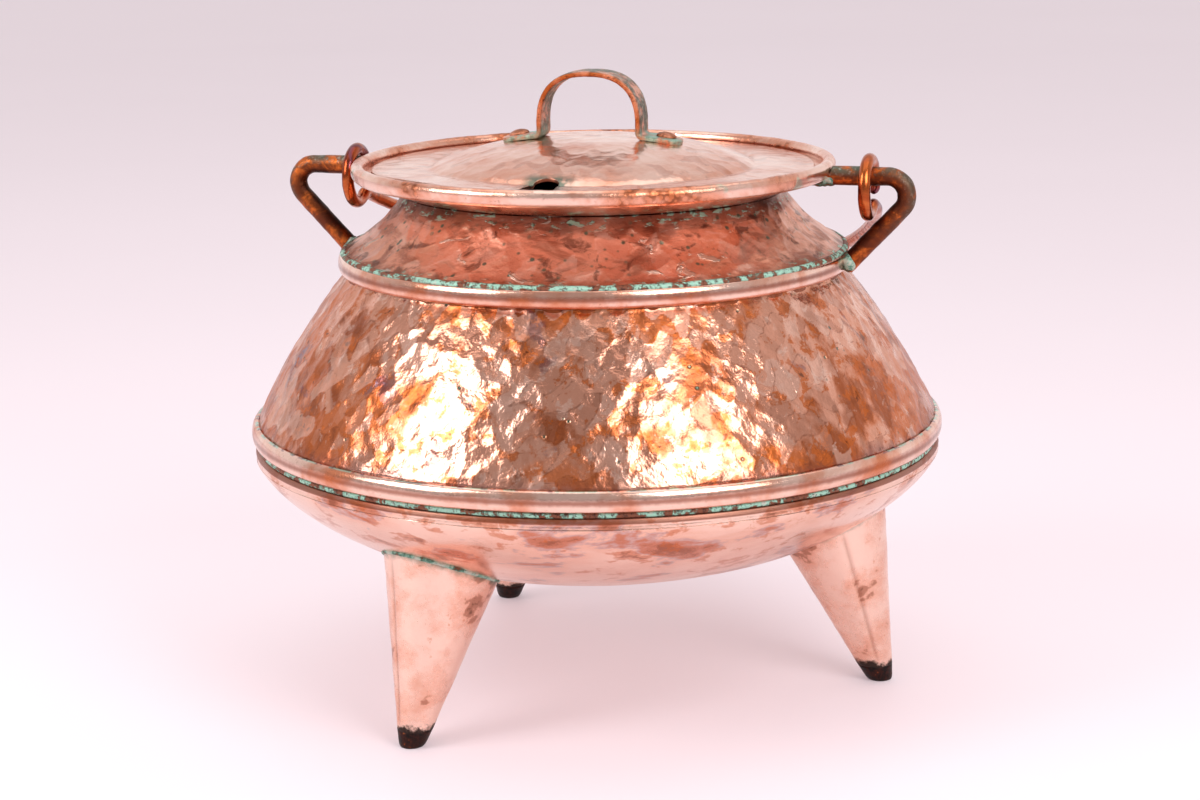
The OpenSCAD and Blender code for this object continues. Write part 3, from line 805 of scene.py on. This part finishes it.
def band(name, node, slot, seed):
    """Half-round band: a segment of a circle turned round Z, with a slow unevenness inwards."""
    low, high = span(node)
    tall = high[2] - low[2]
    wall = {"belly_bead": span("belly_shell")[1][0], "shoulder_bead": span("neck_shell")[1][0]}[node]
    middle = (low[2] + high[2]) / 2
    share = np.linspace(-1, 1, 34)
    out = high[0] - wall
    front = np.stack([
        wall + out * np.sqrt(1 - 0.985 * np.abs(share) ** 2.3), middle + share * tall / 2], axis=-1)
    back = np.array([(wall - 1.0, high[2] - 0.4), (wall - 1.0, low[2] + 0.4)])
    profile = np.vstack([front, back])
    columns = 640
    angle = full_turn(columns)
    facing = np.append(np.sqrt(1 - share ** 2), [0, 0])[:, None]
    dish = dented(high[0], profile[:, 1:] * 0.8, columns, 9, seed + 2)[0]
    push = facing * (0.45 * waves(angle, seed, 3, 40) - 0.16 * np.clip(0.8 - dish, 0, None))
    grid = around(profile, columns, push)
    grid[:, :, 2] += 0.35 * waves(angle, seed + 1, 2, 12) + 0.17
    # The band tag runs from 0 at the bead's middle to 1 at its edges; bead_copper paints the middle dark as
    # painted reflection.
    place = np.broadcast_to(np.append(np.abs(share), [1, 1])[:, None], dish.shape)
    skin(name, grid, slot, "pot", [node], loop=True, tags={"band": place})


class CAULDRON_OT_beads(bpy.types.Operator):
    """Make the two beads and the solder lines beside them"""
    bl_idname = "cauldron.beads"
    bl_label = "Beads and solder"

    def execute(self, context):
        band("belly_band", "belly_bead", "bead_copper", 61)
        band("shoulder_band", "shoulder_bead", "bead_copper", 71)
        columns = 720
        angle = full_turn(columns)
        for name, node, wall, seed in (
                ("belly_solder_line", "belly_seam_solder", span("belly_shell")[1][0], 81),
                ("shoulder_solder_line", "shoulder_seam_solder", span("neck_shell")[1][0], 91)):
            low, high = span(node)
            thick = high[0] - wall
            middle = (low[2] + high[2]) / 2
            turn = np.linspace(-np.pi / 2, np.pi / 2, 13)
            profile = np.stack([
                wall + thick * np.cos(turn), middle + (high[2] - low[2]) / 2 * np.sin(turn)], axis=-1)
            profile = np.vstack([profile, [(wall - 0.8, high[2]), (wall - 0.8, low[2])]])
            facing = np.append(np.cos(turn), [0, 0])[:, None]
            push = facing * 0.9 * thick * waves(angle, seed, 20, 90)
            skin(name, around(profile, columns, push), "green_solder", "pot", [node], loop=True)
        return {"FINISHED"}


class CAULDRON_OT_rim(bpy.types.Operator):
    """Make the mouth flange with its rolled rim"""
    bl_idname = "cauldron.rim"
    bl_label = "Rim"

    def execute(self, context):
        high = span("mouth_flange")[1]
        wire = span("rim_wire")
        wall = 1.3
        roll = high[2] - (wire[0][2] + wire[1][2]) / 2
        centre = np.array([high[0] - roll, high[2] - roll])
        seat_under = centre[1] - roll
        seat = seat_under + wall
        throat = (sizes().throat / MM, span("neck_shell")[1][2])
        flare = arc(throat, (centre[0] - 12, seat_under), 1.2, 14)
        turn = np.radians(np.linspace(-90, 214, 60))
        hang = np.where(np.sin(turn) < 0, 1.5, 1.0)
        bead = centre + roll * circle(turn) * np.stack([np.ones(len(turn)), hang], axis=-1)
        closing = len(turn) * 2 // 3
        bead[closing:, 1] = np.maximum(bead[closing:, 1], seat)
        inner = inset(flare, wall)[::-1]
        profile = np.vstack([flare, bead, [(centre[0] - 3.2, seat), (centre[0] - 8, seat)], inner])
        columns = 720
        angle = full_turn(columns)
        facing = np.zeros((len(profile), 1))
        facing[len(flare):len(flare) + len(bead), 0] = np.sin(np.linspace(0, np.pi, len(bead))) ** 0.5
        dish = dented(high[0], run_of(profile)[:, None], columns, 7, 33)[0]
        push = facing * (0.4 * waves(angle, 7, 2, 30) - 0.2 * np.clip(0.8 - dish, 0, None))
        skin("rim_roll", around(profile, columns, push), "rim_copper", "pot", ["mouth_flange"], loop=True)
        return {"FINISHED"}


class CAULDRON_OT_legs(bpy.types.Operator):
    """Make the three rolled legs, their dark tips and the brazed joints"""
    bl_idname = "cauldron.legs"
    bl_label = "Legs"

    def execute(self, context):
        lean = np.radians(17.0)
        length, tip_up = 75.3, 8.0
        foot_r, mean_r, top_r = 6.0, 18, 25.0
        grow = (top_r - foot_r) / length
        columns = 144
        angle = full_turn(columns)
        joints = []
        for number, (name, foot) in enumerate(sorted(FEET_MM.items())):
            radial = foot * [1, 1, 0] / np.hypot(foot[0], foot[1])
            side = np.array([-radial[1], radial[0], 0])
            axis = -radial * np.sin(lean) + np.array([0, 0, np.cos(lean)])
            out = radial * np.cos(lean) + np.array([0, 0, np.sin(lean)])
            ring = np.cos(angle)[:, None] * out + np.sin(angle)[:, None] * side

            def cut(level):
                """Distance along the axis where each line of the cone reaches a height."""
                return (level - foot_r * ring[:, 2]) / (axis[2] + grow * ring[:, 2])

            def at(along, push=0.0):
                return foot + along[..., None] * axis + (foot_r + grow * along + push)[..., None] * ring

            tries = np.linspace(20, length + 45, 700)[:, None] + 0 * angle
            spot = at(tries)
            above = spot[..., 2] > bowl_height(np.hypot(spot[..., 0], spot[..., 1])) + 0.3
            top = tries[above.argmax(axis=0), 0]
            joints.append(at(top))
            low = cut(tip_up)
            share = np.linspace(0, 1, 70)[:, None]
            along = low + (top - low) * share
            dish = dented(mean_r, along, columns, 10, 100 + number)[0]
            gap = np.abs((angle - 1.9 * np.pi + 0.5 * number + np.pi) % (2 * np.pi) - np.pi)
            seam = np.exp(-(gap * (foot_r + grow * along) / 0.9) ** 2)
            ease = np.clip(share * 8, 0, 1) * np.clip((1 - share) * 10, 0, 1)
            push = -ease * 0.35 * np.clip(0.8 - dish, 0, None) - ease * 0.5 * seam
            wall = at(along, push)
            middle = wall[-1].mean(axis=0)
            inward = wall[-1] + (middle - wall[-1]) * np.linspace(0.03, 0.97, 12)[:, None, None]
            inward[..., 2] = bowl_height(np.hypot(inward[..., 0], inward[..., 1])) + 0.5
            blank = np.zeros((len(inward), columns))
            skin(f"leg_skin_{name}", np.concatenate([wall, inward]), "leg_copper", "pot", [f"leg_{name}"],
                 tags={"seam": np.concatenate([seam * ease, blank]),
                       "top": np.concatenate([share + 0 * seam, blank + 1])})
            heights = np.array([8.3, 6.5, 4.5, 3.0, 1.8, 0.9, 0.3, 0.0, 0.0])
            inset_by = np.array([0.0, 0.1, 0.2, 0.2, 0.3, 0.5, 0.8, 1.4, 3.0])
            tip = np.stack([at(cut(h), 0 * angle - d) for h, d in zip(heights, inset_by)])
            tip[:, :, 2] = np.maximum(heights[:, None], 0)
            skin(f"leg_tip_skin_{name}", tip, "dark_tip", "pot", [f"leg_tip_{name}"])
        draw = np.random.default_rng(17)
        for name, line in zip(sorted(FEET_MM), joints):
            way = np.roll(line, -1, axis=0) - np.roll(line, 1, axis=0)
            way /= np.linalg.norm(way, axis=1)[:, None]
            out = line - line.mean(axis=0)
            out -= way * np.einsum("ij,ij->i", out, way)[:, None]
            out /= np.linalg.norm(out, axis=1)[:, None]
            lumps = 1.5 + 0.45 * waves(angle, int(draw.integers(99)), 6, 40) * 2
            nodes = ["leg_brazes"] if name == "front" else []
            skin(f"leg_braze_{name}", swept(line - out * 0.2, out, np.cross(way, out), lumps, 14),
                 "grey_solder", "pot", nodes, loop=True)
        return {"FINISHED"}


class CAULDRON_OT_ears(bpy.types.Operator):
    """Make the two rod ears and the brazing at their ends"""
    bl_idname = "cauldron.ears"
    bl_label = "Ears"

    def execute(self, context):
        rod = sizes().ear_rod / MM / 2
        flange = span("mouth_flange")[1]
        rim = np.array([flange[0] - ROLL_MM, flange[2] - ROLL_MM])
        for number, (name, sign) in enumerate((("right", 1), ("left", -1))):
            low, high = span(f"ear_{name}")
            reach = max(abs(low[0]), abs(high[0]))
            inner_x = min(abs(low[0]), abs(high[0]))
            bend = 8.8
            centre = np.array([reach - rod - bend, HINGE_MM[2] - bend])
            tilt = np.radians(46.47)
            turn = np.linspace(np.pi / 2, tilt - np.pi / 2, 46)
            curve = centre + bend * circle(turn)
            level = np.stack([np.linspace(inner_x, centre[0], 60)[:-1], np.full(59, HINGE_MM[2])], axis=-1)
            down = -np.array([np.cos(tilt), np.sin(tilt)])
            limb = curve[-1] + down * np.linspace(0.6, 37.5, 60)[:, None]
            flat = np.vstack([level, curve, limb])
            way = heading(flat)
            path = np.stack([flat[:, 0], 0 * flat[:, 0], flat[:, 1]], axis=-1)
            first = np.stack([-way[:, 1], 0 * way[:, 0], way[:, 0]], axis=-1)
            second = np.broadcast_to([0.0, 1.0, 0.0], path.shape)
            columns = 40
            angle = full_turn(columns)
            run = run_of(path)
            dish = dented(rod, run[:, None], columns, 6.5, 200 + number)[0]
            loose = 1 - np.exp(-((run - 18) / 12) ** 2)[:, None]
            push = -loose * 0.35 * np.clip(0.9 - dish, 0, None)
            grid = swept(path, first, second, rod - 0.02, columns, push)
            radius = np.hypot(grid[..., 0], grid[..., 1])
            under = rim[1] - np.sqrt(np.clip(ROLL_MM ** 2 - (radius - rim[0]) ** 2, 0, None))
            under = np.where(radius < rim[0], rim[1] - ROLL_MM, under)
            clear = np.minimum(grid[..., 2], under - 0.02)
            grid[..., 2] = np.where(radius < flange[0], clear, grid[..., 2])
            facing = np.cos(angle) + 0 * dish
            # inner marks the side of the rod facing the pot, where ear_copper paints shade; upper marks the
            # outer top, where it lays patina.
            inner = np.clip(-facing, 0, 1) * np.clip((run[:, None] - 22) / 6, 0, 1)
            upper = np.clip(facing * 1.3, 0, 1) * np.clip(1.2 - run[:, None] / 60, 0, 1)
            grid[..., :2] *= sign
            skin(f"ear_rod_{name}", grid, "ear_copper", "pot", [f"ear_{name}"],
                 tags={"inner": inner, "upper": upper})
            self.brazes(number, name, sign, flat, rod, flange)
        return {"FINISHED"}

    def brazes(self, number, name, sign, flat, rod, flange):
        """Lumps of brazing: collar (rod + 1.6) under the rim, rounded heap at the foot."""
        columns = 48
        angle = full_turn(columns)
        along = np.linspace(-2.5, 11.5, 26)
        size = rod + 1.5 * np.sqrt(np.clip(1 - ((along - 4.5) / 7.2) ** 2, 0, 1)) - 0.3
        path = np.stack([flat[0, 0] + along, 0 * along, 0 * along + flat[0, 1] - 0.2], axis=-1)
        first = np.broadcast_to([0.0, 0.0, 1.0], path.shape)
        second = np.broadcast_to([0.0, 1.0, 0.0], path.shape)
        lumps = 1.0 * waves(angle, 300 + number, 3, 9) + 0.6 * waves(along, 310 + number, 1, 3)[:, None]
        grid = swept(path, first, second, size, columns, lumps)
        grid[..., 2] = np.minimum(grid[..., 2], flange[2] - 6.7)
        grid[..., :2] *= sign
        skin(f"ear_braze_{name}", grid, "grey_solder", "pot",
             ["ear_top_brazes"] if sign > 0 else [])
        root = np.array([span("shoulder_bead")[1][0] + 1.0, 0.0, span("belly_shell")[1][2] + 0.5])
        lean = np.linspace(0.06, np.pi - 0.06, 30)[:, None]
        down = waves(lean[:, 0] * 2, 330 + number, 1, 4)[:, None]
        radius = 6.2 + 1.0 * waves(angle, 320 + number, 2, 7) + 0.7 * down
        heap = np.stack([
            root[0] + radius * np.sin(lean) * np.cos(angle) * 0.8, radius * np.sin(lean) * np.sin(angle),
            root[2] + radius * np.cos(lean) * 0.92], axis=-1)
        heap[..., :2] *= sign
        skin(f"ear_foot_braze_{name}", heap, "grey_solder", "pot",
             ["ear_foot_brazes"] if sign > 0 else [])


# ---------------------------------------------------------------- lid

def lid_sizes():
    """Edge radius, crease radius, crease height and the dome's rise over the crease."""
    low, high = span("lid_plate")
    crease_z = low[2] + CREASE_UP_MM
    return high[0], high[0] - LID_BORDER_MM, crease_z, high[2] - crease_z


def lid_top(radius):
    """Height of the lid's top: crease + rise (1 - (r / R)^2.5) inside the crease, which is a groove
    0.8 deep, and a border falling 1.2 to the edge."""
    edge, crease, crease_z, rise = lid_sizes()
    cap = crease_z + rise * (1 - np.clip(radius / crease, 0, 1) ** 2.5)
    slope = crease_z - 1.2 * (radius - crease) / (edge - crease)
    return np.where(radius < crease, cap, slope) - 0.8 * np.exp(-((radius - crease - 1) / 2.4) ** 2)


class CAULDRON_OT_lid(bpy.types.Operator):
    """Make the domed, dented lid with its ladle notch"""
    bl_idname = "cauldron.lid"
    bl_label = "Lid"

    def execute(self, context):
        s = sizes()
        low, high = span("lid_plate")
        edge = high[0]
        end_r, half, deep = 6.66, 9.0, 33.0
        turn = np.linspace(0, np.pi, 40)
        centre = -(edge - deep + end_r)
        side = np.linspace((half, -np.sqrt(edge ** 2 - half ** 2)), (end_r, centre), 26)[:-1]
        cup = end_r * circle(turn) + [0, centre]
        notch = np.vstack([side, cup, side[::-1] * [-1, 1]])
        mouth = np.arcsin(half / edge)
        sweep = np.linspace(-np.pi / 2 - mouth, -np.pi / 2 + mouth - 2 * np.pi, 680)[1:-1]
        outline = np.vstack([notch, edge * circle(sweep)])
        columns = len(outline)
        near_angle = np.arctan2(outline[:, 1], outline[:, 0])
        near_angle[:len(notch)] = np.linspace(near_angle[0], near_angle[len(notch) - 1], len(notch))
        hub_r = 58
        hub = hub_r * circle(near_angle)
        share = np.linspace(0, 1, 50)[:, None, None]
        border = hub + (outline - hub) * share
        ring = np.linspace(0.02, 0.985, 62)[:, None, None] * hub
        flat = np.concatenate([ring, border])
        radius = np.hypot(flat[..., 0], flat[..., 1])
        dish, mark, _ = dishes(flat[..., 0] + 200, flat[..., 1], 400, s.lid_mark / MM, 51)
        ease = np.clip((1 - np.concatenate([0 * ring, share + 0 * border])[..., 0]) * 12, 0, 1)
        swell = 1 + np.sin(flat[..., 0] / 17) * np.sin(flat[..., 1] / 13)
        dent = -0.5 * ease * np.clip(0.55 - dish, 0, None) - 0.12 * ease * swell
        place = np.arctan2(flat[..., 1], flat[..., 0])
        raised, spread = np.radians([-122, 27])
        gap = np.abs((place - raised + np.pi) % (2 * np.pi) - np.pi)
        lift = 2.6 * np.exp(-(gap / spread) ** 2) * (radius / edge) ** 7
        top = np.concatenate([flat, (lid_top(radius) + dent + lift)[..., None]], axis=-1)
        fall = np.radians([30, 60, 90])[:, None, None]
        bend = np.broadcast_to(outline, (len(fall), *outline.shape))
        lip = np.concatenate([bend, (top[-1, :, 2] - 1.4 * np.sin(fall[..., 0]) ** 2)[..., None]], axis=-1)
        under_flat = flat[::-3]
        under_z = np.maximum(lid_top(radius[::-3]) - 1.5, low[2]) + lift[::-3]
        under = np.concatenate([under_flat, under_z[..., None]], axis=-1)
        grid = np.concatenate([top, lip, under])
        aside = flat[..., 0] - np.clip(flat[..., 0], -8, 8)
        distance = np.hypot(aside, np.clip(flat[..., 1] + edge - deep, 0, None))
        close = np.clip(1 - distance / 5, 0, 1) * (flat[..., 1] < 0)
        extra = len(grid) - len(top)
        wide = np.zeros((extra, columns))
        tags = {
            "mark": np.concatenate([mark, wide + 0.5]), "notch": np.concatenate([close, wide]),
            "inside": np.concatenate([0 * mark, wide + 1])}
        skin("lid_skin", grid, "lid_copper", "lid", ["lid_plate"], tags=tags)
        return {"FINISHED"}


class CAULDRON_OT_strap(bpy.types.Operator):
    """Make the lid's strap handle and its rivets"""
    bl_idname = "cauldron.strap"
    bl_label = "Lid handle and rivets"

    def execute(self, context):
        high = span("lid_handle")[1]
        thick, arch_out = 3.0, 25.5
        arch_r = arch_out - thick / 2
        arch_z = high[2] - arch_out
        _, crease, crease_z, rise = lid_sizes()
        dome = (crease ** 2 + rise ** 2) / (2 * rise)
        dome_z = crease_z + rise - dome
        foot_x = high[0]
        fillet = 2.6

        def seat(x):
            return dome_z + np.sqrt((dome + thick / 2) ** 2 - x * x)

        out = np.linspace(foot_x, arch_r + fillet, 34)
        foot = np.stack([out, seat(out)], axis=-1)
        turn = np.linspace(-np.pi / 2, -np.pi, 10)[1:]
        corner = np.array([arch_r + fillet, seat(arch_r + fillet) + fillet]) + fillet * circle(turn)
        climb = np.stack([np.full(12, arch_r), np.linspace(corner[-1, 1], arch_z, 13)[1:]], axis=-1)
        over = np.linspace(0, np.pi, 90)[1:-1]
        arch = np.array([0, arch_z]) + arch_r * np.stack([
            np.sign(np.cos(over)) * np.abs(np.cos(over)) ** 0.8, np.abs(np.sin(over)) ** 0.8], axis=-1)
        half = np.vstack([foot, corner, climb])
        flat = np.vstack([half, arch, half[::-1] * [-1, 1]])
        way = heading(flat)
        run = run_of(flat)
        left = np.minimum(run, run[-1] - run)
        wide = 8.5 * np.sqrt(np.clip(1 - 0.985 * np.clip(1 - left / 7.0, 0, 1) ** 2.6, 0, 1))
        deep = thick / 2 * np.sqrt(1 - 0.8 * np.clip(1 - left / 1.2, 0, 1) ** 2)
        columns = 56
        angle = full_turn(columns)
        power = 0.42
        across = np.sign(np.cos(angle)) * np.abs(np.cos(angle)) ** power
        through = np.sign(np.sin(angle)) * np.abs(np.sin(angle)) ** power
        normal = np.stack([way[:, 1], -way[:, 0]], axis=-1)
        v = np.broadcast_to(run[:, None], (len(flat), columns))
        dish = dented(6, v, columns, 3.4, 401)[0]
        push = 1 - 0.16 * np.clip(0.8 - dish, 0, None) * np.abs(through)
        depth = deep[:, None] * through * push
        grid = np.stack([
            flat[:, :1] + normal[:, :1] * depth,
            wide[:, None] * across * (1 + 0.05 * waves(v / 9, 402, 1, 8)),
            flat[:, 1:] + normal[:, 1:] * depth], axis=-1)
        edge = np.clip((np.abs(across) - 0.86) / 0.14, 0, 1) + 0 * v
        skin("lid_strap", grid, "strap_copper", "lid", ["lid_handle"],
             tags={"edge": edge, "foot": np.clip((24 - np.minimum(v, run[-1] - v)) / 8, 0, 1)})
        rivet_x = 35.5
        lean = np.arcsin(rivet_x / dome)
        for number, sign in enumerate((1, -1)):
            name = "right" if sign > 0 else "left"
            turn = np.linspace(0.04, np.pi / 2, 18)
            head = np.stack([4.7 * np.sin(turn), 3.0 + 1.9 * np.cos(turn)], axis=-1)
            shank = [(4.7, 2.85), (2.5, 2.8), (2.5, -2.7)]
            self.seated(
                f"lid_rivet_{name}", np.vstack([head, shank]), 500 + number, sign * lean, dome, dome_z,
                ["lid_rivets"] if sign > 0 else [], 0.5)
            washer = [(2.5, -1.45), (5.2, -1.5), (5.5, -1.8), (5.4, -2.5), (4.6, -2.7), (2.5, -2.7)]
            self.seated(
                f"lid_burr_{name}", np.array(washer), 510 + number, sign * lean, dome, dome_z,
                ["lid_rivet_burrs"] if sign > 0 else [], 0.0)
        return {"FINISHED"}

    def seated(self, name, profile, seed, lean, dome, dome_z, nodes, dent):
        """Turned piece with its axis square to the dome at the angle lean from the top."""
        columns = 40
        dish = dented(4, profile[:, 1:] * 1.4, columns, 3.2, seed)[0]
        push = -dent * np.clip(0.7 - dish, 0, None) * (profile[:, 1:] > 3.1)
        grid = around(profile, columns, push)
        up = grid[..., 2] + dome
        turned = np.stack([
            grid[..., 0] * np.cos(lean) + up * np.sin(lean), grid[..., 1],
            dome_z - grid[..., 0] * np.sin(lean) + up * np.cos(lean)], axis=-1)
        skin(name, turned, "strap_copper", "lid", nodes,
             tags={"edge": np.full(dish.shape, 0.6), "foot": np.zeros(dish.shape)})


# ---------------------------------------------------------------- bail

class CAULDRON_OT_bail(bpy.types.Operator):
    """Make the swinging bail with its two hooks"""
    bl_idname = "cauldron.bail"
    bl_label = "Bail"

    def execute(self, context):
        low, high = span("bail")
        rod = sizes().bail_rod / MM / 2
        half = (high[0] - low[0]) / 2 - rod
        shift = (high[0] + low[0]) / 2
        hook_r, back_r, shank = 12.8, 6.5, 4.0
        hang = hook_r - rod - sizes().ear_rod / MM / 2 - 0.05
        cut, turn, rest = np.radians([-22.0, 56.4, 21.25])
        back = (hook_r + back_r) * np.array([np.cos(turn), -np.sin(turn)]) - [0, hang]
        loop = np.linspace(cut, 2 * np.pi - turn, 110)
        hook = np.array([0, -hang]) + hook_r * circle(loop)
        bend = np.linspace(np.pi - turn, np.pi / 2 - rest, 36)[1:]
        reverse = back + back_r * circle(bend)
        forward = np.array([np.cos(rest), -np.sin(rest)])
        straight = reverse[-1] + forward * np.linspace(0, shank, 6)[1:, None]
        side_yz = np.vstack([hook, reverse, straight])
        start_r, side_r = 30.0, 233.0
        a1, a2 = np.radians([9.3, 28.0])
        crown_r = (half - start_r - (side_r - start_r) * np.cos(a1)) / np.cos(a2) + side_r
        side_c = (start_r - side_r) * np.array([np.cos(a1), np.sin(a1)]) + [half - start_r, 0]
        crown_c = np.array([0, side_c[1] + (side_r - crown_r) * np.sin(a2)])
        arcs = [((half - start_r, 0), start_r, 0, a1, 8), (side_c, side_r, a1, a2, 60),
                (crown_c, crown_r, a2, np.pi / 2, 100)]
        hoop = np.vstack([
            np.array(c) + r * circle(t)
            for c, r, t in ((c, r, np.linspace(a, b, n)[1:]) for c, r, a, b, n in arcs)])
        hoop = np.vstack([hoop, hoop[-2::-1] * [-1, 1]])
        end = straight[-1]
        hoop_path = np.stack([
            hoop[:, 0], end[0] + hoop[:, 1] * forward[0], end[1] + hoop[:, 1] * forward[1]], axis=-1)
        right = np.stack([np.full(len(side_yz), half), side_yz[:, 0], side_yz[:, 1]], axis=-1)
        path = np.vstack([right, hoop_path, right[::-1] * [-1, 1, 1]])
        way = heading(path)
        across = np.array([1.0, 0.0, 0.0])
        plane = np.cross([0, forward[0], forward[1]], across)
        hooks = len(right)
        first = np.cross(plane, way)
        first[:hooks] = across
        first[-hooks:] = -across
        second = np.cross(way, first)
        path = path + [shift, 0, HINGE_MM[2]]
        columns = 32
        run = run_of(path)
        dish = dented(rod, run[:, None], columns, 5.5, 601)[0]
        push = -0.2 * np.clip(0.9 - dish, 0, None) + 0.12 * waves(run / 40, 602, 1, 9)[:, None]
        size = rounded(run, rod, 4.0)
        grid = swept(path, first, second, size, columns, push * (size / rod)[:, None])
        skin("bail_rod", grid, "bail_copper", "bail", ["bail"])
        return {"FINISHED"}


# ---------------------------------------------------------------- stage

def softbox(name, place, target, wide, tall, power, colour=(1.0, 1.0, 1.0)):
    data = bpy.data.lights.new(name, "AREA")
    data.shape = "RECTANGLE"
    data.size = wide
    data.size_y = tall
    data.energy = power
    data.color = colour
    lamp = bpy.data.objects.new(name, data)
    lamp.location = place
    lamp.rotation_euler = (Vector(target) - Vector(place)).to_track_quat("-Z", "Y").to_euler()
    bpy.context.scene.collection.objects.link(lamp)


class CAULDRON_OT_stage(bpy.types.Operator):
    """Lay the floor, hang the lights and set the camera"""
    bl_idname = "cauldron.stage"
    bl_label = "Floor, lights and camera"

    def execute(self, context):
        scene = context.scene
        scene.view_settings.view_transform = "Standard"
        size = 30.0
        mesh = bpy.data.meshes.new("floor")
        corners = [(-size, -size, 0), (size, -size, 0), (size, size, 0), (-size, size, 0)]
        mesh.from_pydata(corners, [], [(0, 1, 2, 3)])
        floor = bpy.data.objects.new("floor", mesh)
        scene.collection.objects.link(floor)
        f = Finish("pale_floor", {"Emission Color": tint("fbe9f0"), "Emission Strength": 0.31})
        cloud = f.noise(900, 3)
        mesh.materials.append(f.done(
            f.blend(cloud, tint("d6ccd0"), tint("d0c6ca")), 0.6 + cloud * 0.05, cloud, 0.01))
        target = (0, 0, 0.14)
        cool = (1.0, 0.98, 1.0)
        softbox("left_light", (-0.95, -0.85, 0.95), target, 0.75, 0.8, 11, cool)
        softbox("right_light", (0.95, -0.75, 0.95), target, 0.75, 0.8, 11, cool)
        softbox("top_light", (0.0, 0.2, 2.2), target, 2.4, 2.0, 13, (1.0, 0.97, 0.98))
        world = bpy.data.worlds.new("studio")
        scene.world = world
        world.use_nodes = True
        tree = world.node_tree
        tree.nodes.clear()
        out = tree.nodes.new("ShaderNodeOutputWorld")
        back = tree.nodes.new("ShaderNodeBackground")
        tree.links.new(back.outputs[0], out.inputs[0])
        coord = tree.nodes.new("ShaderNodeTexCoord")
        split = tree.nodes.new("ShaderNodeSeparateXYZ")
        tree.links.new(coord.outputs["Generated"], split.inputs[0])
        behind = Flow(tree, split.outputs["Y"]) * 1.4 + 0.35
        high = Flow(tree, split.outputs["Z"])
        glow = behind.math("MAXIMUM", 0.0).math("MINIMUM", 1.0) * (1.0 - high * 0.62)
        feed(tree, back.inputs["Color"], (0.95, 0.90, 0.92, 1.0))
        feed(tree, back.inputs["Strength"], glow * 0.62 + 0.48)
        camera = bpy.data.objects.new("camera", bpy.data.cameras.new("camera"))
        camera.data.lens = 80.2
        camera.data.sensor_width = 36.0
        turn, lift, roll = np.radians([16.0, 12.5, -0.9])
        aim = Vector((0.0016 * np.cos(turn), 0.0016 * np.sin(turn), 0.1353))
        back_way = Vector((np.sin(turn) * np.cos(lift), -np.cos(turn) * np.cos(lift), np.sin(lift)))
        camera.location = aim + back_way * 1.285
        facing = back_way.to_track_quat("Z", "Y").to_matrix()
        camera.rotation_euler = (facing @ Matrix.Rotation(roll, 3, "Z")).to_euler()
        scene.collection.objects.link(camera)
        scene.camera = camera
        return {"FINISHED"}


class CAULDRON_OT_hidden(bpy.types.Operator):
    """Give the wire inside the rolled rim its finish"""
    bl_idname = "cauldron.hidden"
    bl_label = "Rim wire"

    def execute(self, context):
        for place in frame["nodes"]["rim_wire"].material_slots:
            place.material = finish("rim_copper")
        return {"FINISHED"}


class CAULDRON_PT_panel(bpy.types.Panel):
    """Lists the steps that make the cauldron"""
    bl_label = "Copper cauldron"
    bl_idname = "CAULDRON_PT_panel"
    bl_space_type = "VIEW_3D"
    bl_region_type = "UI"
    bl_category = "Cauldron"

    def draw(self, context):
        for step in STEPS:
            self.layout.operator(step.bl_idname)
        for group in (context.scene.cauldron_sizes, context.scene.cauldron_colours):
            for key in group.__annotations__:
                self.layout.prop(group, key)


STEPS = (
    CAULDRON_OT_stage, CAULDRON_OT_bowl, CAULDRON_OT_belly, CAULDRON_OT_beads, CAULDRON_OT_rim,
    CAULDRON_OT_legs, CAULDRON_OT_ears, CAULDRON_OT_lid, CAULDRON_OT_strap, CAULDRON_OT_bail,
    CAULDRON_OT_hidden)
CLASSES = (CauldronSizes, CauldronColours, *STEPS, CAULDRON_PT_panel)


def register():
    for item in CLASSES:
        bpy.utils.register_class(item)
    bpy.types.Scene.cauldron_sizes = bpy.props.PointerProperty(type=CauldronSizes)
    bpy.types.Scene.cauldron_colours = bpy.props.PointerProperty(type=CauldronColours)


def unregister():
    del bpy.types.Scene.cauldron_sizes
    del bpy.types.Scene.cauldron_colours
    for item in reversed(CLASSES):
        bpy.utils.unregister_class(item)


def main():
    register()
    for step in STEPS:
        group, name = step.bl_idname.split(".")
        getattr(getattr(bpy.ops, group), name)()


if __name__ == "__main__":
    main()
